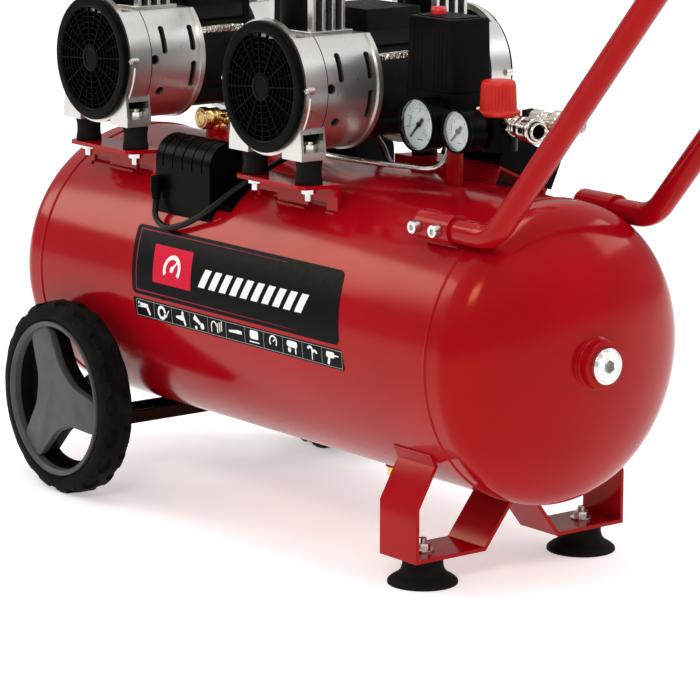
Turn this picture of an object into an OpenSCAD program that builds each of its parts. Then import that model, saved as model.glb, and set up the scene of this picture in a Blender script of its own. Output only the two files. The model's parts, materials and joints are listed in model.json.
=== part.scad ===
// Fifty litre two-pump oil-free air compressor, +X towards the handle, -Y is the label side.
// Every X below is measured from the tank's middle; tank_x shifts the whole so its box is centred.

/* [Tank] */
// Outer radius of the tank
tank_r = 147; // [145:0.5:148]
// Height of the tank's axis above the floor
tank_z = 224.5; // [222:0.5:228]
// Length of the rolled shell, seam to seam
shell_len = 654; // [648:1:660]
// Depth of each dished head, past its straight flange
head_depth = 59; // [56:1:62]

/* [Running gear] */
// Height of the suction feet under the straps
foot_h = 28; // [26:1:30]
// Distance of each foot from the middle plane
foot_y = 102; // [98:1:104]
// Outer radius of a wheel
wheel_r = 103; // [101:0.5:104]
// Width of a tyre
wheel_w = 36; // [34:1:37]
// Distance of a tyre's outer face from the middle plane
wheel_face_y = 190; // [189:1:192]

/* [Handle] */
// Outer radius of the handle tube
handle_r = 12; // [11:0.5:12.5]
// Rise of the handle's arms above the horizontal
rise_angle = 49; // [46:1:52]
// Height of the grip's axis above the floor
grip_z = 638; // [620:1:650]

/* [Pumps] */
// Place of the left pump along the tank
pump_a_x = -244; // [-248:1:-242]
// Place of the right pump along the tank
pump_b_x = 56; // [52:1:58]
// Height of the crankshaft above the floor
pump_z = 461; // [459:1:463]
// Outer radius of a crankcase can
can_r = 67; // [66:0.5:68]
// Distance of each fan guard's face from the middle plane
guard_face_y = 136; // [135:1:138]

/* [Controls] */
// Place of the pressure switch along the tank
switch_x = 182; // [178:1:184]
// Place of the regulator along the tank
regulator_x = 257; // [255:1:259]
// Height of the manifold's bore
manifold_z = 432; // [431:0.5:433]
// Socket radius of a quick coupling
socket_r = 5.6; // [5.2:0.1:6]

/* [Hidden] */
$fn = 48;
wall = 2.5;
flange = 17;
half_shell = shell_len / 2;
head_end = half_shell + flange + head_depth;
boss_r = 23;
plug_end = head_end + 19;
sides = [-1, 1];
pumps_x = [pump_a_x, pump_b_x];

strap_x = 272;
strap_w = 56;
sheet = 4;
foot_top_r = 20;
foot_r = 34.5;

wheel_x = -241;
rim_r = 82.5;
axle_r = 6;
wheel_mid_y = wheel_face_y - wheel_w / 2;
ear_y = 141;
bracket_z = 67;

handle_y = 100;
handle_z = 350;
sleeve_r = 15;
sleeve_x0 = 270;
sleeve_x1 = 319;
tube_x0 = sleeve_x0 + 3;
screw_head = 15.2;
bend_x = 370;
bend_r = 44;
corner_r = 46;
arm_end_x = bend_x + (grip_z - handle_z) / tan(rise_angle);
grip_r = 16;
tank_x = (plug_end - arm_end_x - grip_r) / 2;
arm_len = (grip_z - handle_z) / sin(rise_angle);
bend_tan = bend_r * tan(rise_angle / 2);

plate_z = 368;
mount_top = 393;
mount_dx = 44;
mount_y = 109;
mount_r = 13.5;
bracket_w = 133;
plate_w = 113;
web_y = 89;
casting_y = 130;
seam_y = 104;
web_in_y = 100;
seat_y = 124;
bulkhead_y = 44;
can_end_y = 36;
deck_z = 512;
cyl_y = 78;
cyl_h = 44;
head_z = deck_z + cyl_h;
bore_r = 23.5;
shaft_r = 6;
bearing_y = 45;
running = 0.05;
crank_r = 14;
crank_throw = 4;
guard_r = 65;
fan_y = 115;
fan_r = 45;

switch_w = 71;
switch_d = 50;
switch_z0 = 447;
switch_z1 = 461;
switch_z2 = 533;
gauge_y = 52;
gauge_d = 26;
gauge_spots = [[195, 27], [254.5, 21.5]];
knob_z = 444;
front_turn = -10;
rear_turn = 18;
front_z = 437;
rear_z = 441;
coupling_len = 52;

valve_x = -205;
drain_x = 105;
lead_r = 3.2;

// ---- shared shapes ----

module at_tank(x = 0, y = 0, z = 0) translate([tank_x + x, y, z]) children();
module along_x() rotate([0, 90, 0]) children();
module along_y() rotate([-90, 0, 0]) children();
module tank_axis() at_tank(0, 0, tank_z) along_x() children();
module both_sides() for (s = sides) mirror([0, s < 0 ? 1 : 0, 0]) children();
module at_pump(x) at_tank(x, 0, pump_z) children();

// what is welded on the tank is cut to its round surface
module cut_by_tank(clear = 0) difference() {
    children();
    tank_axis() cylinder(r = tank_r + clear, h = 2 * head_end, center = true, $fn = 160);
}

// a bent strip of sheet metal in a plane, its bends mitred, along the middle line given by its points
function turned(v) = [-v[1], v[0]];
function mitre(p, i) = let (
    before = turned(unit(p[max(i, 1)] - p[max(i, 1) - 1])),
    after = turned(unit(p[min(i + 1, len(p) - 1)] - p[min(i, len(p) - 2)])))
    (before + after) / (1 + before * after);
module strip(points, t) polygon(concat(
    [for (i = [0 : len(points) - 1]) points[i] + mitre(points, i) * t / 2],
    [for (i = [len(points) - 1 : -1 : 0]) points[i] - mitre(points, i) * t / 2]));

// rings around points, joined by flats, for a free tube: a sweep with a regular outline
function unit(v) = v / norm(v);
function tangent(p, i) = unit(p[min(i + 1, len(p) - 1)] - p[max(i - 1, 0)]);
function side_of(t) = unit(cross(t, abs(t[2]) < 0.9 ? [0, 0, 1] : [1, 0, 0]));
function carried(p, i) = i == 0 ? side_of(tangent(p, 0)) :
    let (s = carried(p, i - 1), t = tangent(p, i)) unit(s - (s * t) * t);
function ring(p, i, r, n) = let (t = tangent(p, i), s = carried(p, i), u = cross(t, s))
    [for (k = [0 : n - 1]) p[i] + r * (cos(360 * k / n) * s + sin(360 * k / n) * u)];
module sweep(p, r, n = 8) {
    m = len(p);
    points = [for (i = [0 : m - 1]) each ring(p, i, r, n)];
    walls = [for (i = [0 : m - 2], k = [0 : n - 1])
        [i * n + k, (i + 1) * n + k, (i + 1) * n + (k + 1) % n, i * n + (k + 1) % n]];
    ends = [[for (k = [0 : n - 1]) k], [for (k = [n - 1 : -1 : 0]) (m - 1) * n + k]];
    polyhedron(points, concat(walls, ends));
}
// a smooth curve through the points, a few steps between each pair
function spline(p, i, t) = let (
    a = p[max(i - 1, 0)], b = p[i], c = p[i + 1], d = p[min(i + 2, len(p) - 1)])
    0.5 * (2 * b + (c - a) * t + (2 * a - 5 * b + 4 * c - d) * t * t
        + (3 * b - a - 3 * c + d) * t * t * t);
function smooth(p, steps) = concat(
    [for (i = [0 : len(p) - 2], k = [0 : steps - 1]) spline(p, i, k / steps)], [p[len(p) - 1]]);

module hex_nut(across, h) cylinder(d = across / cos(30), h = h, $fn = 6);

// ---- tank ----

module tank_shell() color("firebrick") {
    difference() {
        tank_axis() cylinder(r = tank_r, h = shell_len, center = true, $fn = 160);
        tank_axis() cylinder(r = tank_r - wall, h = shell_len + 2, center = true, $fn = 160);
        at_tank(valve_x, 0, tank_z) cylinder(r = 12, h = tank_r + 10);
        at_tank(drain_x, 0, 0) cylinder(r = 12, h = tank_z);
    }
    // welded sockets for the check valve and for the drain
    at_tank(valve_x, 0, tank_z + tank_r - 6) difference() {
        cylinder(r = 12, h = 15);
        translate([0, 0, -1]) cylinder(r = 8, h = 17);
    }
    at_tank(drain_x, 0, tank_z - tank_r - 9) difference() {
        cylinder(r = 12, h = 15);
        translate([0, 0, -1]) cylinder(r = 6, h = 17);
    }
}

module dish(depth, r) rotate_extrude($fn = 160)
    polygon(concat([[0, 0]], [for (i = [0 : 15]) [r * cos(i * 6), depth * sin(i * 6)]], [[0, depth]]));

module head(inner_r = 15) {
    difference() {
        union() {
            cylinder(r = tank_r, h = flange, $fn = 160);
            translate([0, 0, flange]) dish(head_depth, tank_r);
        }
        translate([0, 0, -1]) cylinder(r = tank_r - wall, h = flange + 1, $fn = 160);
        translate([0, 0, flange]) dish(head_depth - wall, tank_r - wall);
        cylinder(r = boss_r, h = flange + head_depth + 1);
    }
    // threaded inspection boss
    translate([0, 0, flange + head_depth - 10]) difference() {
        cylinder(r = boss_r, h = 22);
        translate([0, 0, -1]) cylinder(r = inner_r, h = 24);
    }
}

module tank_head_left() color("firebrick") at_tank(-half_shell, 0, tank_z) rotate([0, -90, 0]) head();
module tank_head_right() color("firebrick") at_tank(half_shell, 0, tank_z) rotate([0, 90, 0]) head();

module end_plugs() color("silver") for (s = sides) at_tank(s * (head_end + 12), 0, tank_z)
    rotate([0, s * 90, 0]) difference() {
        union() {
            translate([0, 0, -20]) cylinder(r = 15, h = 20);
            cylinder(r = 17.5, h = 5);
            translate([0, 0, 5]) cylinder(r = 15.5, h = 2);
        }
        translate([0, 0, -6]) hex_nut(11, 20);
    }

module drain_valve() color("goldenrod") at_tank(drain_x, 0, tank_z - tank_r - 9) difference() {
    union() {
        cylinder(r = 6, h = 14);
        translate([0, 0, -9]) hex_nut(17, 9);
        translate([0, 0, -17]) cylinder(r = 6.5, h = 8);
    }
    translate([0, 0, -18]) cylinder(r = 4.05, h = 16);
}

module drain_screw() color("goldenrod") at_tank(drain_x, 0, tank_z - tank_r - 9) {
    translate([0, 0, -26]) cylinder(r = 4, h = 20);
    translate([0, 0, -30]) cylinder(r = 8, h = 8, $fn = 24);
    for (a = [0, 180]) rotate(a) translate([7, -1.5, -32]) cube([7, 3, 10]);
}

// ---- feet and wheels ----

strap_line = [[-115, 134], [-109, 121], [-131, 82], [-131, foot_h + sheet / 2],
    [-47, foot_h + sheet / 2], [-8.5, 79.5]];

module foot_straps() color("firebrick") cut_by_tank() both_sides() difference() {
    at_tank(strap_x - strap_w / 2, 0, 0) rotate([90, 0, 90]) linear_extrude(strap_w)
        strip(strap_line, sheet);
    at_tank(strap_x, -foot_y, 0) cylinder(r = 4.2, h = foot_h + 20);
}

module rubber_feet() color("#1c1c1c") for (s = sides) at_tank(strap_x, s * foot_y, 0) difference() {
    rotate_extrude() polygon([[0, 4], [26, 2.5], [foot_r - 3, 0], [foot_r, 0], [foot_r, 4],
        [27, 9], [22, 15], [foot_top_r, 21], [foot_top_r, foot_h], [0, foot_h]]);
    translate([0, 0, 9]) cylinder(r = 4, h = foot_h);
}

module foot_bolts() color("silver") for (s = sides) at_tank(strap_x, s * foot_y, 0) {
    translate([0, 0, 10]) cylinder(r = 4, h = foot_h);
    translate([0, 0, foot_h + sheet]) cylinder(r = 11, h = 1.8);
    translate([0, 0, foot_h + sheet + 1.8]) hex_nut(13, 6);
}

// channel welded under the tank, with an upright ear for each stub axle
module wheel_bracket() color("#7c1012") cut_by_tank() at_tank(wheel_x, 0, 0) {
    translate([-20, -ear_y, bracket_z]) cube([40, 2 * ear_y, sheet]);
    for (x = [-20, 16]) translate([x, -ear_y, bracket_z]) cube([sheet, 2 * ear_y, 14]);
    both_sides() difference() {
        translate([0, ear_y - sheet, 0]) union() {
            translate([-20, 0, bracket_z]) cube([40, sheet, wheel_r - bracket_z]);
            translate([0, sheet, wheel_r]) along_y() mirror([0, 0, 1]) cylinder(r = 20, h = sheet);
        }
        translate([0, 0, wheel_r]) along_y() cylinder(r = axle_r, h = 300);
    }
}

module axle_bolts() color("silver") both_sides() at_tank(wheel_x, 0, wheel_r) along_y() {
    translate([0, 0, ear_y - sheet - 8]) hex_nut(19, 8);
    translate([0, 0, ear_y - sheet]) cylinder(r = axle_r, h = wheel_mid_y + 13 - ear_y + sheet);
    translate([0, 0, ear_y]) cylinder(r = 11, h = 5);
    translate([0, 0, wheel_mid_y + 9]) cylinder(r = 9, h = 3);
}

// one wheel, its axis along Z and its outer face up; z = 0 is the tyre's middle
spoke_turn = -8;
hub_bore = axle_r + 0.05;
module wheel_hub() difference() {
    union() {
        difference() {
            translate([0, 0, -wheel_w / 2 + 1]) cylinder(r = rim_r, h = wheel_w + 1, $fn = 96);
            translate([0, 0, -wheel_w]) cylinder(r = rim_r - 6, h = 3 * wheel_w, $fn = 96);
        }
        translate([0, 0, -wheel_w / 2 + 10]) linear_extrude(wheel_w - 12) intersection() {
            circle(r = rim_r - 4, $fn = 96);
            union() {
                circle(r = 33);
                for (i = [0 : 2]) rotate(spoke_turn + 120 * i) polygon([[0, -26], [30, -21], [82, -17],
                    [82, 17], [30, 21], [0, 26]]);
            }
        }
        translate([0, 0, -wheel_w / 2 - 2]) cylinder(r = 15, h = 16);
    }
    translate([0, 0, -wheel_w]) cylinder(r = hub_bore, h = wheel_w + 13.5);
    translate([0, 0, 7]) cylinder(r = 11, h = 6.5);
}

module tyre() rotate_extrude($fn = 96) polygon([[rim_r, -wheel_w / 2 + 2], [88, -wheel_w / 2],
    [95, -wheel_w / 2 + 1], [wheel_r - 1, -wheel_w / 2 + 5], [wheel_r, -wheel_w / 2 + 8],
    [wheel_r, wheel_w / 2 - 8], [wheel_r - 1, wheel_w / 2 - 5], [95, wheel_w / 2 - 1],
    [88, wheel_w / 2], [rim_r, wheel_w / 2 - 1]]);

module front_wheel() at_tank(wheel_x, -wheel_mid_y, wheel_r) rotate([90, 0, 0]) children();
module rear_wheel() at_tank(wheel_x, wheel_mid_y, wheel_r) rotate([-90, 0, 0]) children();
module wheel_hub_front() color("#6b6a66") front_wheel() wheel_hub();
module wheel_hub_rear() color("#6b6a66") rear_wheel() wheel_hub();
module tyre_front() color("#222222") front_wheel() tyre();
module tyre_rear() color("#222222") rear_wheel() tyre();

// ---- handle ----

// a quarter or part of a bent tube that starts at the origin along +X and turns up, about +Y
module tube_bend(turn, r, tube) translate([0, 0, r]) rotate([90, 0, 0]) rotate(-90)
    rotate_extrude(angle = turn) translate([r, 0]) circle(r = tube, $fn = 32);

module handle_arm() {
    at_tank(tube_x0, 0, handle_z) along_x()
        cylinder(r = handle_r, h = bend_x - bend_tan - tube_x0, $fn = 32);
    at_tank(bend_x - bend_tan, 0, handle_z) tube_bend(rise_angle, bend_r, handle_r);
    at_tank(bend_x, 0, handle_z) rotate([0, -rise_angle, 0]) translate([bend_tan, 0, 0])
        along_x() cylinder(r = handle_r, h = arm_len - bend_tan - corner_r, $fn = 32);
}

// one bent tube: two arms, two corners and the bar under the grip
module handle_tube() color("firebrick") {
    both_sides() translate([0, handle_y, 0]) handle_arm();
    at_tank(bend_x, 0, handle_z) rotate([0, -rise_angle, 0]) {
        both_sides() translate([arm_len - corner_r, handle_y - corner_r, 0])
            rotate_extrude(angle = 90) translate([corner_r, 0]) circle(r = handle_r, $fn = 32);
        translate([arm_len, -(handle_y - corner_r), 0]) along_y()
            cylinder(r = handle_r, h = 2 * (handle_y - corner_r), $fn = 32);
    }
}

module handle_grip() color("#202020") at_tank(arm_end_x, 0, grip_z) along_y() difference() {
    cylinder(r = grip_r, h = 2 * (handle_y - corner_r) - 4, center = true);
    cylinder(r = handle_r, h = 200, center = true, $fn = 32);
}

module handle_sleeves() color("firebrick") both_sides() {
    difference() {
        at_tank(sleeve_x0, handle_y, handle_z) along_x() cylinder(r = sleeve_r, h = sleeve_x1 - sleeve_x0);
        at_tank(tube_x0, handle_y, handle_z) along_x() cylinder(r = handle_r, h = 60, $fn = 32);
        sleeve_holes();
        tank_axis() cylinder(r = tank_r, h = shell_len, center = true, $fn = 160);
    }
    // weld seat under the sleeve
    difference() {
        at_tank(sleeve_x0 + 4, handle_y, handle_z) rotate([-52, 0, 0]) translate([0, -4, -22])
            cube([sleeve_x1 - sleeve_x0 - 8, 20, 9]);
        tank_axis() cylinder(r = tank_r, h = shell_len, center = true, $fn = 160);
        at_tank(sleeve_x0, handle_y, handle_z) along_x() cylinder(r = sleeve_r, h = 60);
    }
}

screw_xs = [277, 307];
module sleeve_holes() for (x = screw_xs) at_tank(x, handle_y, handle_z) along_y() cylinder(r = 3, h = 40);

module handle_screws() color("silver") both_sides() for (x = screw_xs)
    at_tank(x, handle_y, handle_z) along_y() difference() {
        union() {
            translate([0, 0, handle_r]) cylinder(r = 3, h = 8);
            translate([0, 0, screw_head]) cylinder(r = 6, h = 8);
        }
        translate([0, 0, screw_head + 4]) hex_nut(5, 5);
    }

// ---- pump brackets and rubber mounts ----

module mount_spots(x) for (dx = [-mount_dx, mount_dx], s = sides) at_tank(x + dx, s * mount_y, 0) children();

// bent sheet: a level plate that carries two mounts and a web welded on the tank
module pump_bracket() {
    difference() {
        translate([0, 0, plate_z - sheet]) linear_extrude(sheet) polygon([
            [-bracket_w / 2, web_y - 2], [bracket_w / 2, web_y - 2],
            [plate_w / 2, web_y + 34], [plate_w / 2 - 6, web_y + 38],
            [-plate_w / 2 + 6, web_y + 38], [-plate_w / 2, web_y + 34]]);
        for (dx = [-mount_dx, mount_dx]) translate([dx, mount_y, 0]) cylinder(r = 4, h = 500);
    }
    difference() {
        translate([-bracket_w / 2, web_y - 2, 330]) cube([bracket_w, sheet, plate_z - sheet - 330]);
        for (dx = [-46, 34]) translate([dx - 15, web_y - 10, 325]) cube([30, 20, 23]);
    }
}

module pump_brackets() color("firebrick") cut_by_tank() for (x = pumps_x) both_sides()
    at_tank(x, 0, 0) pump_bracket();

module rubber_mounts() color("#191919") for (x = pumps_x) mount_spots(x)
    translate([0, 0, plate_z]) difference() {
        rotate_extrude() polygon([[0, 0], [mount_r, 0], [mount_r, 3], [mount_r - 0.8, 9],
            [mount_r - 0.8, 16], [mount_r, 22], [mount_r, mount_top - plate_z], [0, mount_top - plate_z]]);
        translate([0, 0, -1]) cylinder(r = 4, h = 30);
    }

module mount_bolts() color("silver") for (x = pumps_x) mount_spots(x) {
    translate([0, 0, plate_z - sheet - 13]) cylinder(r = 4, h = mount_top - plate_z + sheet + 13 + 17);
    translate([0, 0, plate_z - sheet - 6]) hex_nut(13, 6);
    translate([0, 0, mount_top + 8]) hex_nut(13, 6);
}

// ---- pumps ----

// outline across the crankshaft: a round can with a flat deck on top for the cylinder
module can_outline(r, deck = 0) intersection() {
    circle(r = r, $fn = 96);
    translate([-r, -r]) square([2 * r, r + deck_z - pump_z - deck]);
}
module cavity_outline() can_outline(can_r - 3.5, 4);
// two feet, each with a web that rises to the can
module foot_outline() for (s = sides) mirror([s < 0 ? 1 : 0, 0]) translate([0, mount_top - pump_z])
    polygon([[28, 0], [60, 0], [60, 8], [57, 34], [40, 34], [28, 12]]);
module lay() rotate([90, 0, 0]) children();

// front half of a pump's housings, at y < 0: a casting with two feet, and a slotted can
module crankcase_half() {
    difference() {
        union() {
            translate([0, -seam_y, 0]) lay() linear_extrude(casting_y - seam_y) can_outline(can_r + 1);
            translate([0, -web_in_y, 0]) lay() linear_extrude(casting_y - web_in_y) foot_outline();
            // round seat of the fan guard
            translate([0, -seat_y, 0]) lay() cylinder(r = can_r, h = casting_y - seat_y, $fn = 96);
            translate([0, -can_end_y, 0]) lay() linear_extrude(seam_y - can_end_y) can_outline(can_r);
            translate([0, -can_end_y, 0]) lay() linear_extrude(5) can_outline(can_r + 2);
            // screw bosses beside the guard
            for (s = sides) translate([s * (can_r + 1), -casting_y + 8, 2]) lay() cylinder(r = 3.5, h = 8);
        }
        difference() {
            translate([0, -bulkhead_y, 0]) lay() linear_extrude(casting_y - 4 - bulkhead_y)
                cavity_outline();
            translate([0, -bulkhead_y, 0]) lay() cylinder(r = 20, h = 6);
        }
        translate([0, -can_end_y + 1, 0]) lay() linear_extrude(bearing_y - can_end_y - 4)
            cavity_outline();
        translate([0, -seat_y, 0]) lay() cylinder(r = guard_r - 4, h = 20);
        translate([0, -bearing_y + 10, 0]) lay() cylinder(r = 16, h = 20);
        // pockets over the mounting feet, with the stud holes through them
        for (s = [0, 1]) mirror([s, 0, 0]) translate([mount_dx, -mount_y, mount_top - pump_z]) {
            translate([0, 0, -1]) cylinder(r = 4, h = 20);
            translate([-8, -18, 8]) cube([30, 25, 18]);
        }
        // cooling slots and round holes on both flanks
        for (s = [0, 1]) mirror([s, 0, 0]) {
            flank_slot(86, 9, 29);
            flank_slot(50, 10, 28);
            flank_slot(50, -24, -5);
            flank_hole(99, 1.5, 5);
            flank_hole(88, -29, 5);
        }
        translate([0, -cyl_y, 30]) cylinder(r = 24, h = 60);
    }
}

// a round hole through the can's flank, and a round-ended slot between two angles
module flank_hole(y, angle, r) translate([0, -y, 0]) rotate([0, -angle, 0]) along_x()
    translate([0, 0, can_r - 8]) cylinder(r = r, h = 16, $fn = 24);
slot_w = 6.5;
module flank_slot(y, from, to) {
    translate([0, -y + slot_w / 2, 0]) lay() linear_extrude(slot_w)
        polygon([for (a = [from, (from + to) / 2, to]) (can_r + 5) * [cos(a), sin(a)],
            for (a = [to, (from + to) / 2, from]) (can_r - 6) * [cos(a), sin(a)]]);
    for (a = [from, to]) flank_hole(y, a, slot_w / 2 + 0.2);
}

module both_ends() {
    children();
    mirror([0, 1, 0]) children();
}
module crankcases() color("#c9c7c2") for (x = pumps_x) at_pump(x) both_ends() crankcase_half();

// laminated motor body between the cans, with a cover over the ends of its windings
cover_half = 40;
cover_top = 73;
module stators() color("#151515") for (x = pumps_x) at_pump(x) lay() difference() {
    union() {
        translate([0, 0, -can_end_y]) cylinder(r = 60, h = 2 * can_end_y, $fn = 72);
        for (a = [45 : 90 : 315]) rotate(a) translate([52, -9, -can_end_y]) cube([12, 18, 2 * can_end_y]);
        // winding cover on top
        translate([-cover_half, 40, -34]) cube([2 * cover_half, cover_top - 40, 68]);
    }
    translate([0, 0, -60]) cylinder(r = 33.5, h = 120);
}

module bearings() color("silver") for (x = pumps_x, s = sides) at_pump(x)
    translate([0, s * bearing_y, 0]) lay() difference() {
        cylinder(r = 16, h = 9, center = true);
        cylinder(r = shaft_r + running, h = 20, center = true);
    }

// armature, shaft and the two eccentrics that drive the pistons, both at top dead centre
module rotor(x) color("#9a9a98") at_pump(x) lay() {
    cylinder(r = 32.5, h = 62, center = true);
    cylinder(r = shaft_r, h = 2 * fan_y + 14, center = true);
    for (s = sides) translate([0, crank_throw, s * cyl_y]) cylinder(r = crank_r, h = 10, center = true);
}

// wobble pistons: a cup on a rod, whose big end turns on the eccentric
module pistons(x) color("#b0b0ae") for (s = sides) at_tank(x, s * cyl_y, pump_z + crank_throw) difference() {
    union() {
        translate([0, 4, 0]) lay() cylinder(r = 19, h = 8);
        translate([-6, -4, 10]) cube([12, 8, head_z - pump_z - 20 - crank_throw]);
        translate([0, 0, head_z - pump_z - 12 - crank_throw]) cylinder(r = bore_r - crank_throw - 0.6, h = 6);
    }
    lay() cylinder(r = crank_r + running, h = 20, center = true);
}

blades = 9;
module fan() difference() {
    union() {
        cylinder(r = 17, h = 12);
        for (i = [0 : blades - 1]) rotate(i * 360 / blades) translate([14, 0, 6]) rotate([28, 0, 0])
            translate([0, -1.2, -7]) cube([fan_r - 14, 2.4, 14]);
    }
    translate([0, 0, -20]) cylinder(r = shaft_r, h = 60);
}
module fans(x) color("#101010") at_pump(x) for (s = sides) translate([0, s * fan_y, 0])
    rotate([-s * 90, 0, 0]) translate([0, 0, -6]) fan();

// ventilated plastic cover over each fan: a rim with a spigot, spokes and rings
ring_radii = [22, 36, 50];
module guard() {
    difference() {
        union() {
            translate([0, 0, 6]) cylinder(r = guard_r, h = 6, $fn = 96);
            translate([0, 0, 1]) cylinder(r = guard_r - 4.2, h = 6, $fn = 96);
        }
        translate([0, 0, -1]) cylinder(r = guard_r - 8, h = 20, $fn = 96);
    }
    translate([0, 0, 8]) linear_extrude(3) {
        circle(r = 15);
        for (r = ring_radii) difference() {
            circle(r = r + 1);
            circle(r = r - 1);
        }
        for (i = [0 : 11]) rotate(i * 30) translate([14, -1]) square([guard_r - 21, 2]);
    }
}
module fan_guards() color("#141414") for (x = pumps_x, s = sides) at_pump(x)
    translate([0, s * (guard_face_y - 12), 0]) rotate([-s * 90, 0, 0]) guard();

module cylinder_spots() for (x = pumps_x, s = sides) at_tank(x, s * cyl_y, deck_z) children();

// barrel with upright cooling fins on both sides, between a foot plate and a top flange
module finned_cylinders() color("#bdbbb6") cylinder_spots() difference() {
    union() {
        translate([-40, -26, 0]) cube([80, 52, 4]);
        cylinder(r = 27, h = cyl_h);
        translate([-36, -28, cyl_h - 5]) cube([72, 56, 5]);
        for (y = [-18, -6, 6, 18]) translate([-36, y - 2, 4]) cube([72, 4, cyl_h - 9]);
    }
    translate([0, 0, -1]) cylinder(r = bore_r, h = cyl_h + 10);
}

head_bolts = [[-29, -21], [-29, 21], [29, -21], [29, 21]];
module cylinder_heads() color("#a9a8a4") cylinder_spots() translate([0, 0, cyl_h]) {
    translate([-36, -28, 0]) cube([72, 56, 3]);
    translate([-34, -26, 3]) cube([68, 52, 8]);
    for (i = [-5 : 5]) translate([i * 6 - 1.2, -26, 11]) cube([2.4, 52, 13]);
    for (p = head_bolts) translate([p[0], p[1], 11]) {
        cylinder(r = 5, h = 3);
        translate([0, 0, 3]) cylinder(r = 4.2, h = 5);
    }
}

// intake filter and silencer at each head's end
silencer_x = 54;
module intake_silencers() color("#161616") cylinder_spots() translate([-silencer_x, 0, cyl_h + 8]) {
    along_x() cylinder(r = 4.5, h = silencer_x - 34);
    translate([0, 0, -16]) cylinder(r = 14, h = 30);
    translate([0, 0, 14]) cylinder(r = 11, h = 4);
}

link_z = head_z + 9.5;
hose_y = 14;
stub = 12;
module link_tube() {
    along_y() cylinder(r = 4, h = 2 * cyl_y, center = true);
    for (s = sides) translate([-8, s * cyl_y, 0]) along_x() cylinder(r = 6, h = 12);
}
module head_link_tubes() color("silver") {
    at_tank(pump_a_x + 42, 0, link_z) {
        link_tube();
        for (y = [-hose_y, hose_y]) translate([0, y, 0]) along_x() cylinder(r = 5.5, h = stub);
    }
    at_tank(pump_b_x + 42, 0, link_z) {
        link_tube();
        translate([-stub, -hose_y, 0]) along_x() cylinder(r = 5.5, h = stub);
    }
}

// ---- pressure line from the pumps to the tank ----

hose_r = 4;
hose_a_route = [[-190, 14, link_z], [-187, 14, link_z], [-184, 14, link_z], [-177, 14, 561],
    [-173, 14, 550], [-172, 14, 525], [-172, 15, 500], [-172, 18, 465], [-174, 25, 440],
    [-180, 34, 419], [-190, 40, 403], [-199, 38, 395], [-204, 28, 392], [-205, 19, 392],
    [-205, 15, 392], [-205, 11, 392]];
hose_b_route = [[86, -14, link_z], [82, -14, link_z], [78, -14, link_z], [40, -13, 556],
    [-10, -12, 549], [-55, -12, 547],
    [-100, -12, 549], [-146, -13, 556], [-182, -14, link_z], [-186, -14, link_z], [-190, -14, link_z]];
module discharge_hoses() color("#2a2a2a") at_tank() {
    sweep(smooth(hose_a_route, 3), hose_r);
    sweep(smooth(hose_b_route, 3), hose_r);
}

valve_rise = 20.5;
module check_valve() color("goldenrod") at_tank(valve_x, 0, tank_z + tank_r) {
    translate([0, 0, -5]) cylinder(r = 8, h = 14);
    translate([0, 0, 9]) cylinder(r = 9, h = 4);
    translate([0, -22, valve_rise]) along_y() {
        hex_nut(22, 10);
        translate([0, 0, 10]) cylinder(r = 10.5, h = 13);
        translate([0, 0, 23]) cylinder(r = 7.5, h = 10);
    }
    // side port of the unloader pipe
    translate([7, -2, valve_rise]) along_x() cylinder(r = 4.5, h = 9);
}

pipe_route = [[189, -6, 417], [189, -6, 411], [189, -7, 399], [186, -13, 388], [176, -20, 384],
    [150, -25, 383.5], [110, -34, 383], [60, -40, 383], [0, -42, 383], [-60, -40, 382], [-120, -32, 380],
    [-155, -18, 380], [-172, -6, 386], [-179, -2, 391], [-184, -2, 392], [-189, -2, 392]];
module unloader_pipe() color("#b5b3b0") at_tank() sweep(smooth(pipe_route, 3), 2.8);

// ---- electrical boxes ----

// run capacitor housing on the tank's shoulder: upright, with a rounded top
box_x0 = -147;
box_x1 = -52;
box_y = 94;
box_half = 26;
module capacitor_outline() union() {
    translate([box_y, 364]) circle(r = box_half);
    translate([box_y - box_half, 310]) square([2 * box_half, 54]);
}
module capacitor_box() {
    at_tank(box_x0, 0, 0) rotate([90, 0, 90]) linear_extrude(box_x1 - box_x0) capacitor_outline();
    // foot that lies on the tank
    intersection() {
        at_tank(box_x1, box_y - 24, 300) cube([23, 40, 80]);
        tank_axis() cylinder(r = tank_r + 4, h = shell_len, center = true, $fn = 160);
    }
}
gland_x = -138;
gland_y = box_y + box_half + 6.5;
module capacitor_boxes() color("#1b1b1b") {
    cut_by_tank() both_sides() difference() {
        capacitor_box();
        for (i = [0 : 4]) at_tank(box_x0 + 12 + i * 17, 0, 0) groove();
    }
    // cable gland that points down beside the outer face
    both_sides() at_tank(gland_x, gland_y, 332) {
        cylinder(r = 6, h = 16);
        translate([-6, -6.5, 7]) cube([12, 6.5, 9]);
    }
}
module groove() rotate([90, 0, 90]) linear_extrude(2) difference() {
    translate([box_y, 364]) circle(r = box_half + 2);
    translate([box_y, 364]) circle(r = box_half - 1.5);
    translate([box_y - 40, 300]) square([80, 58]);
}

// each lead leaves the gland, droops on the tank and goes back in under the right pump
lead_route = [[-138, -126.5, 332], [-138, -126.5, 329], [-138, -126.5, 326], [-137, -128, 317],
    [-133, -131, 308], [-123, -133, 302], [-106, -134, 299], [-86, -131, 304], [-67, -127, 313],
    [-53, -124.5, 321], [-42, -117, 331], [-34, -108, 341], [-24, -96, 352], [-14, -80, 364],
    [0, -64, 377], [12, -48, 388], [22, -34, 398], [28, -22, 408]];
module capacitor_leads() color("#181818") both_ends() at_tank() sweep(smooth(lead_route, 2), lead_r);

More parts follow.
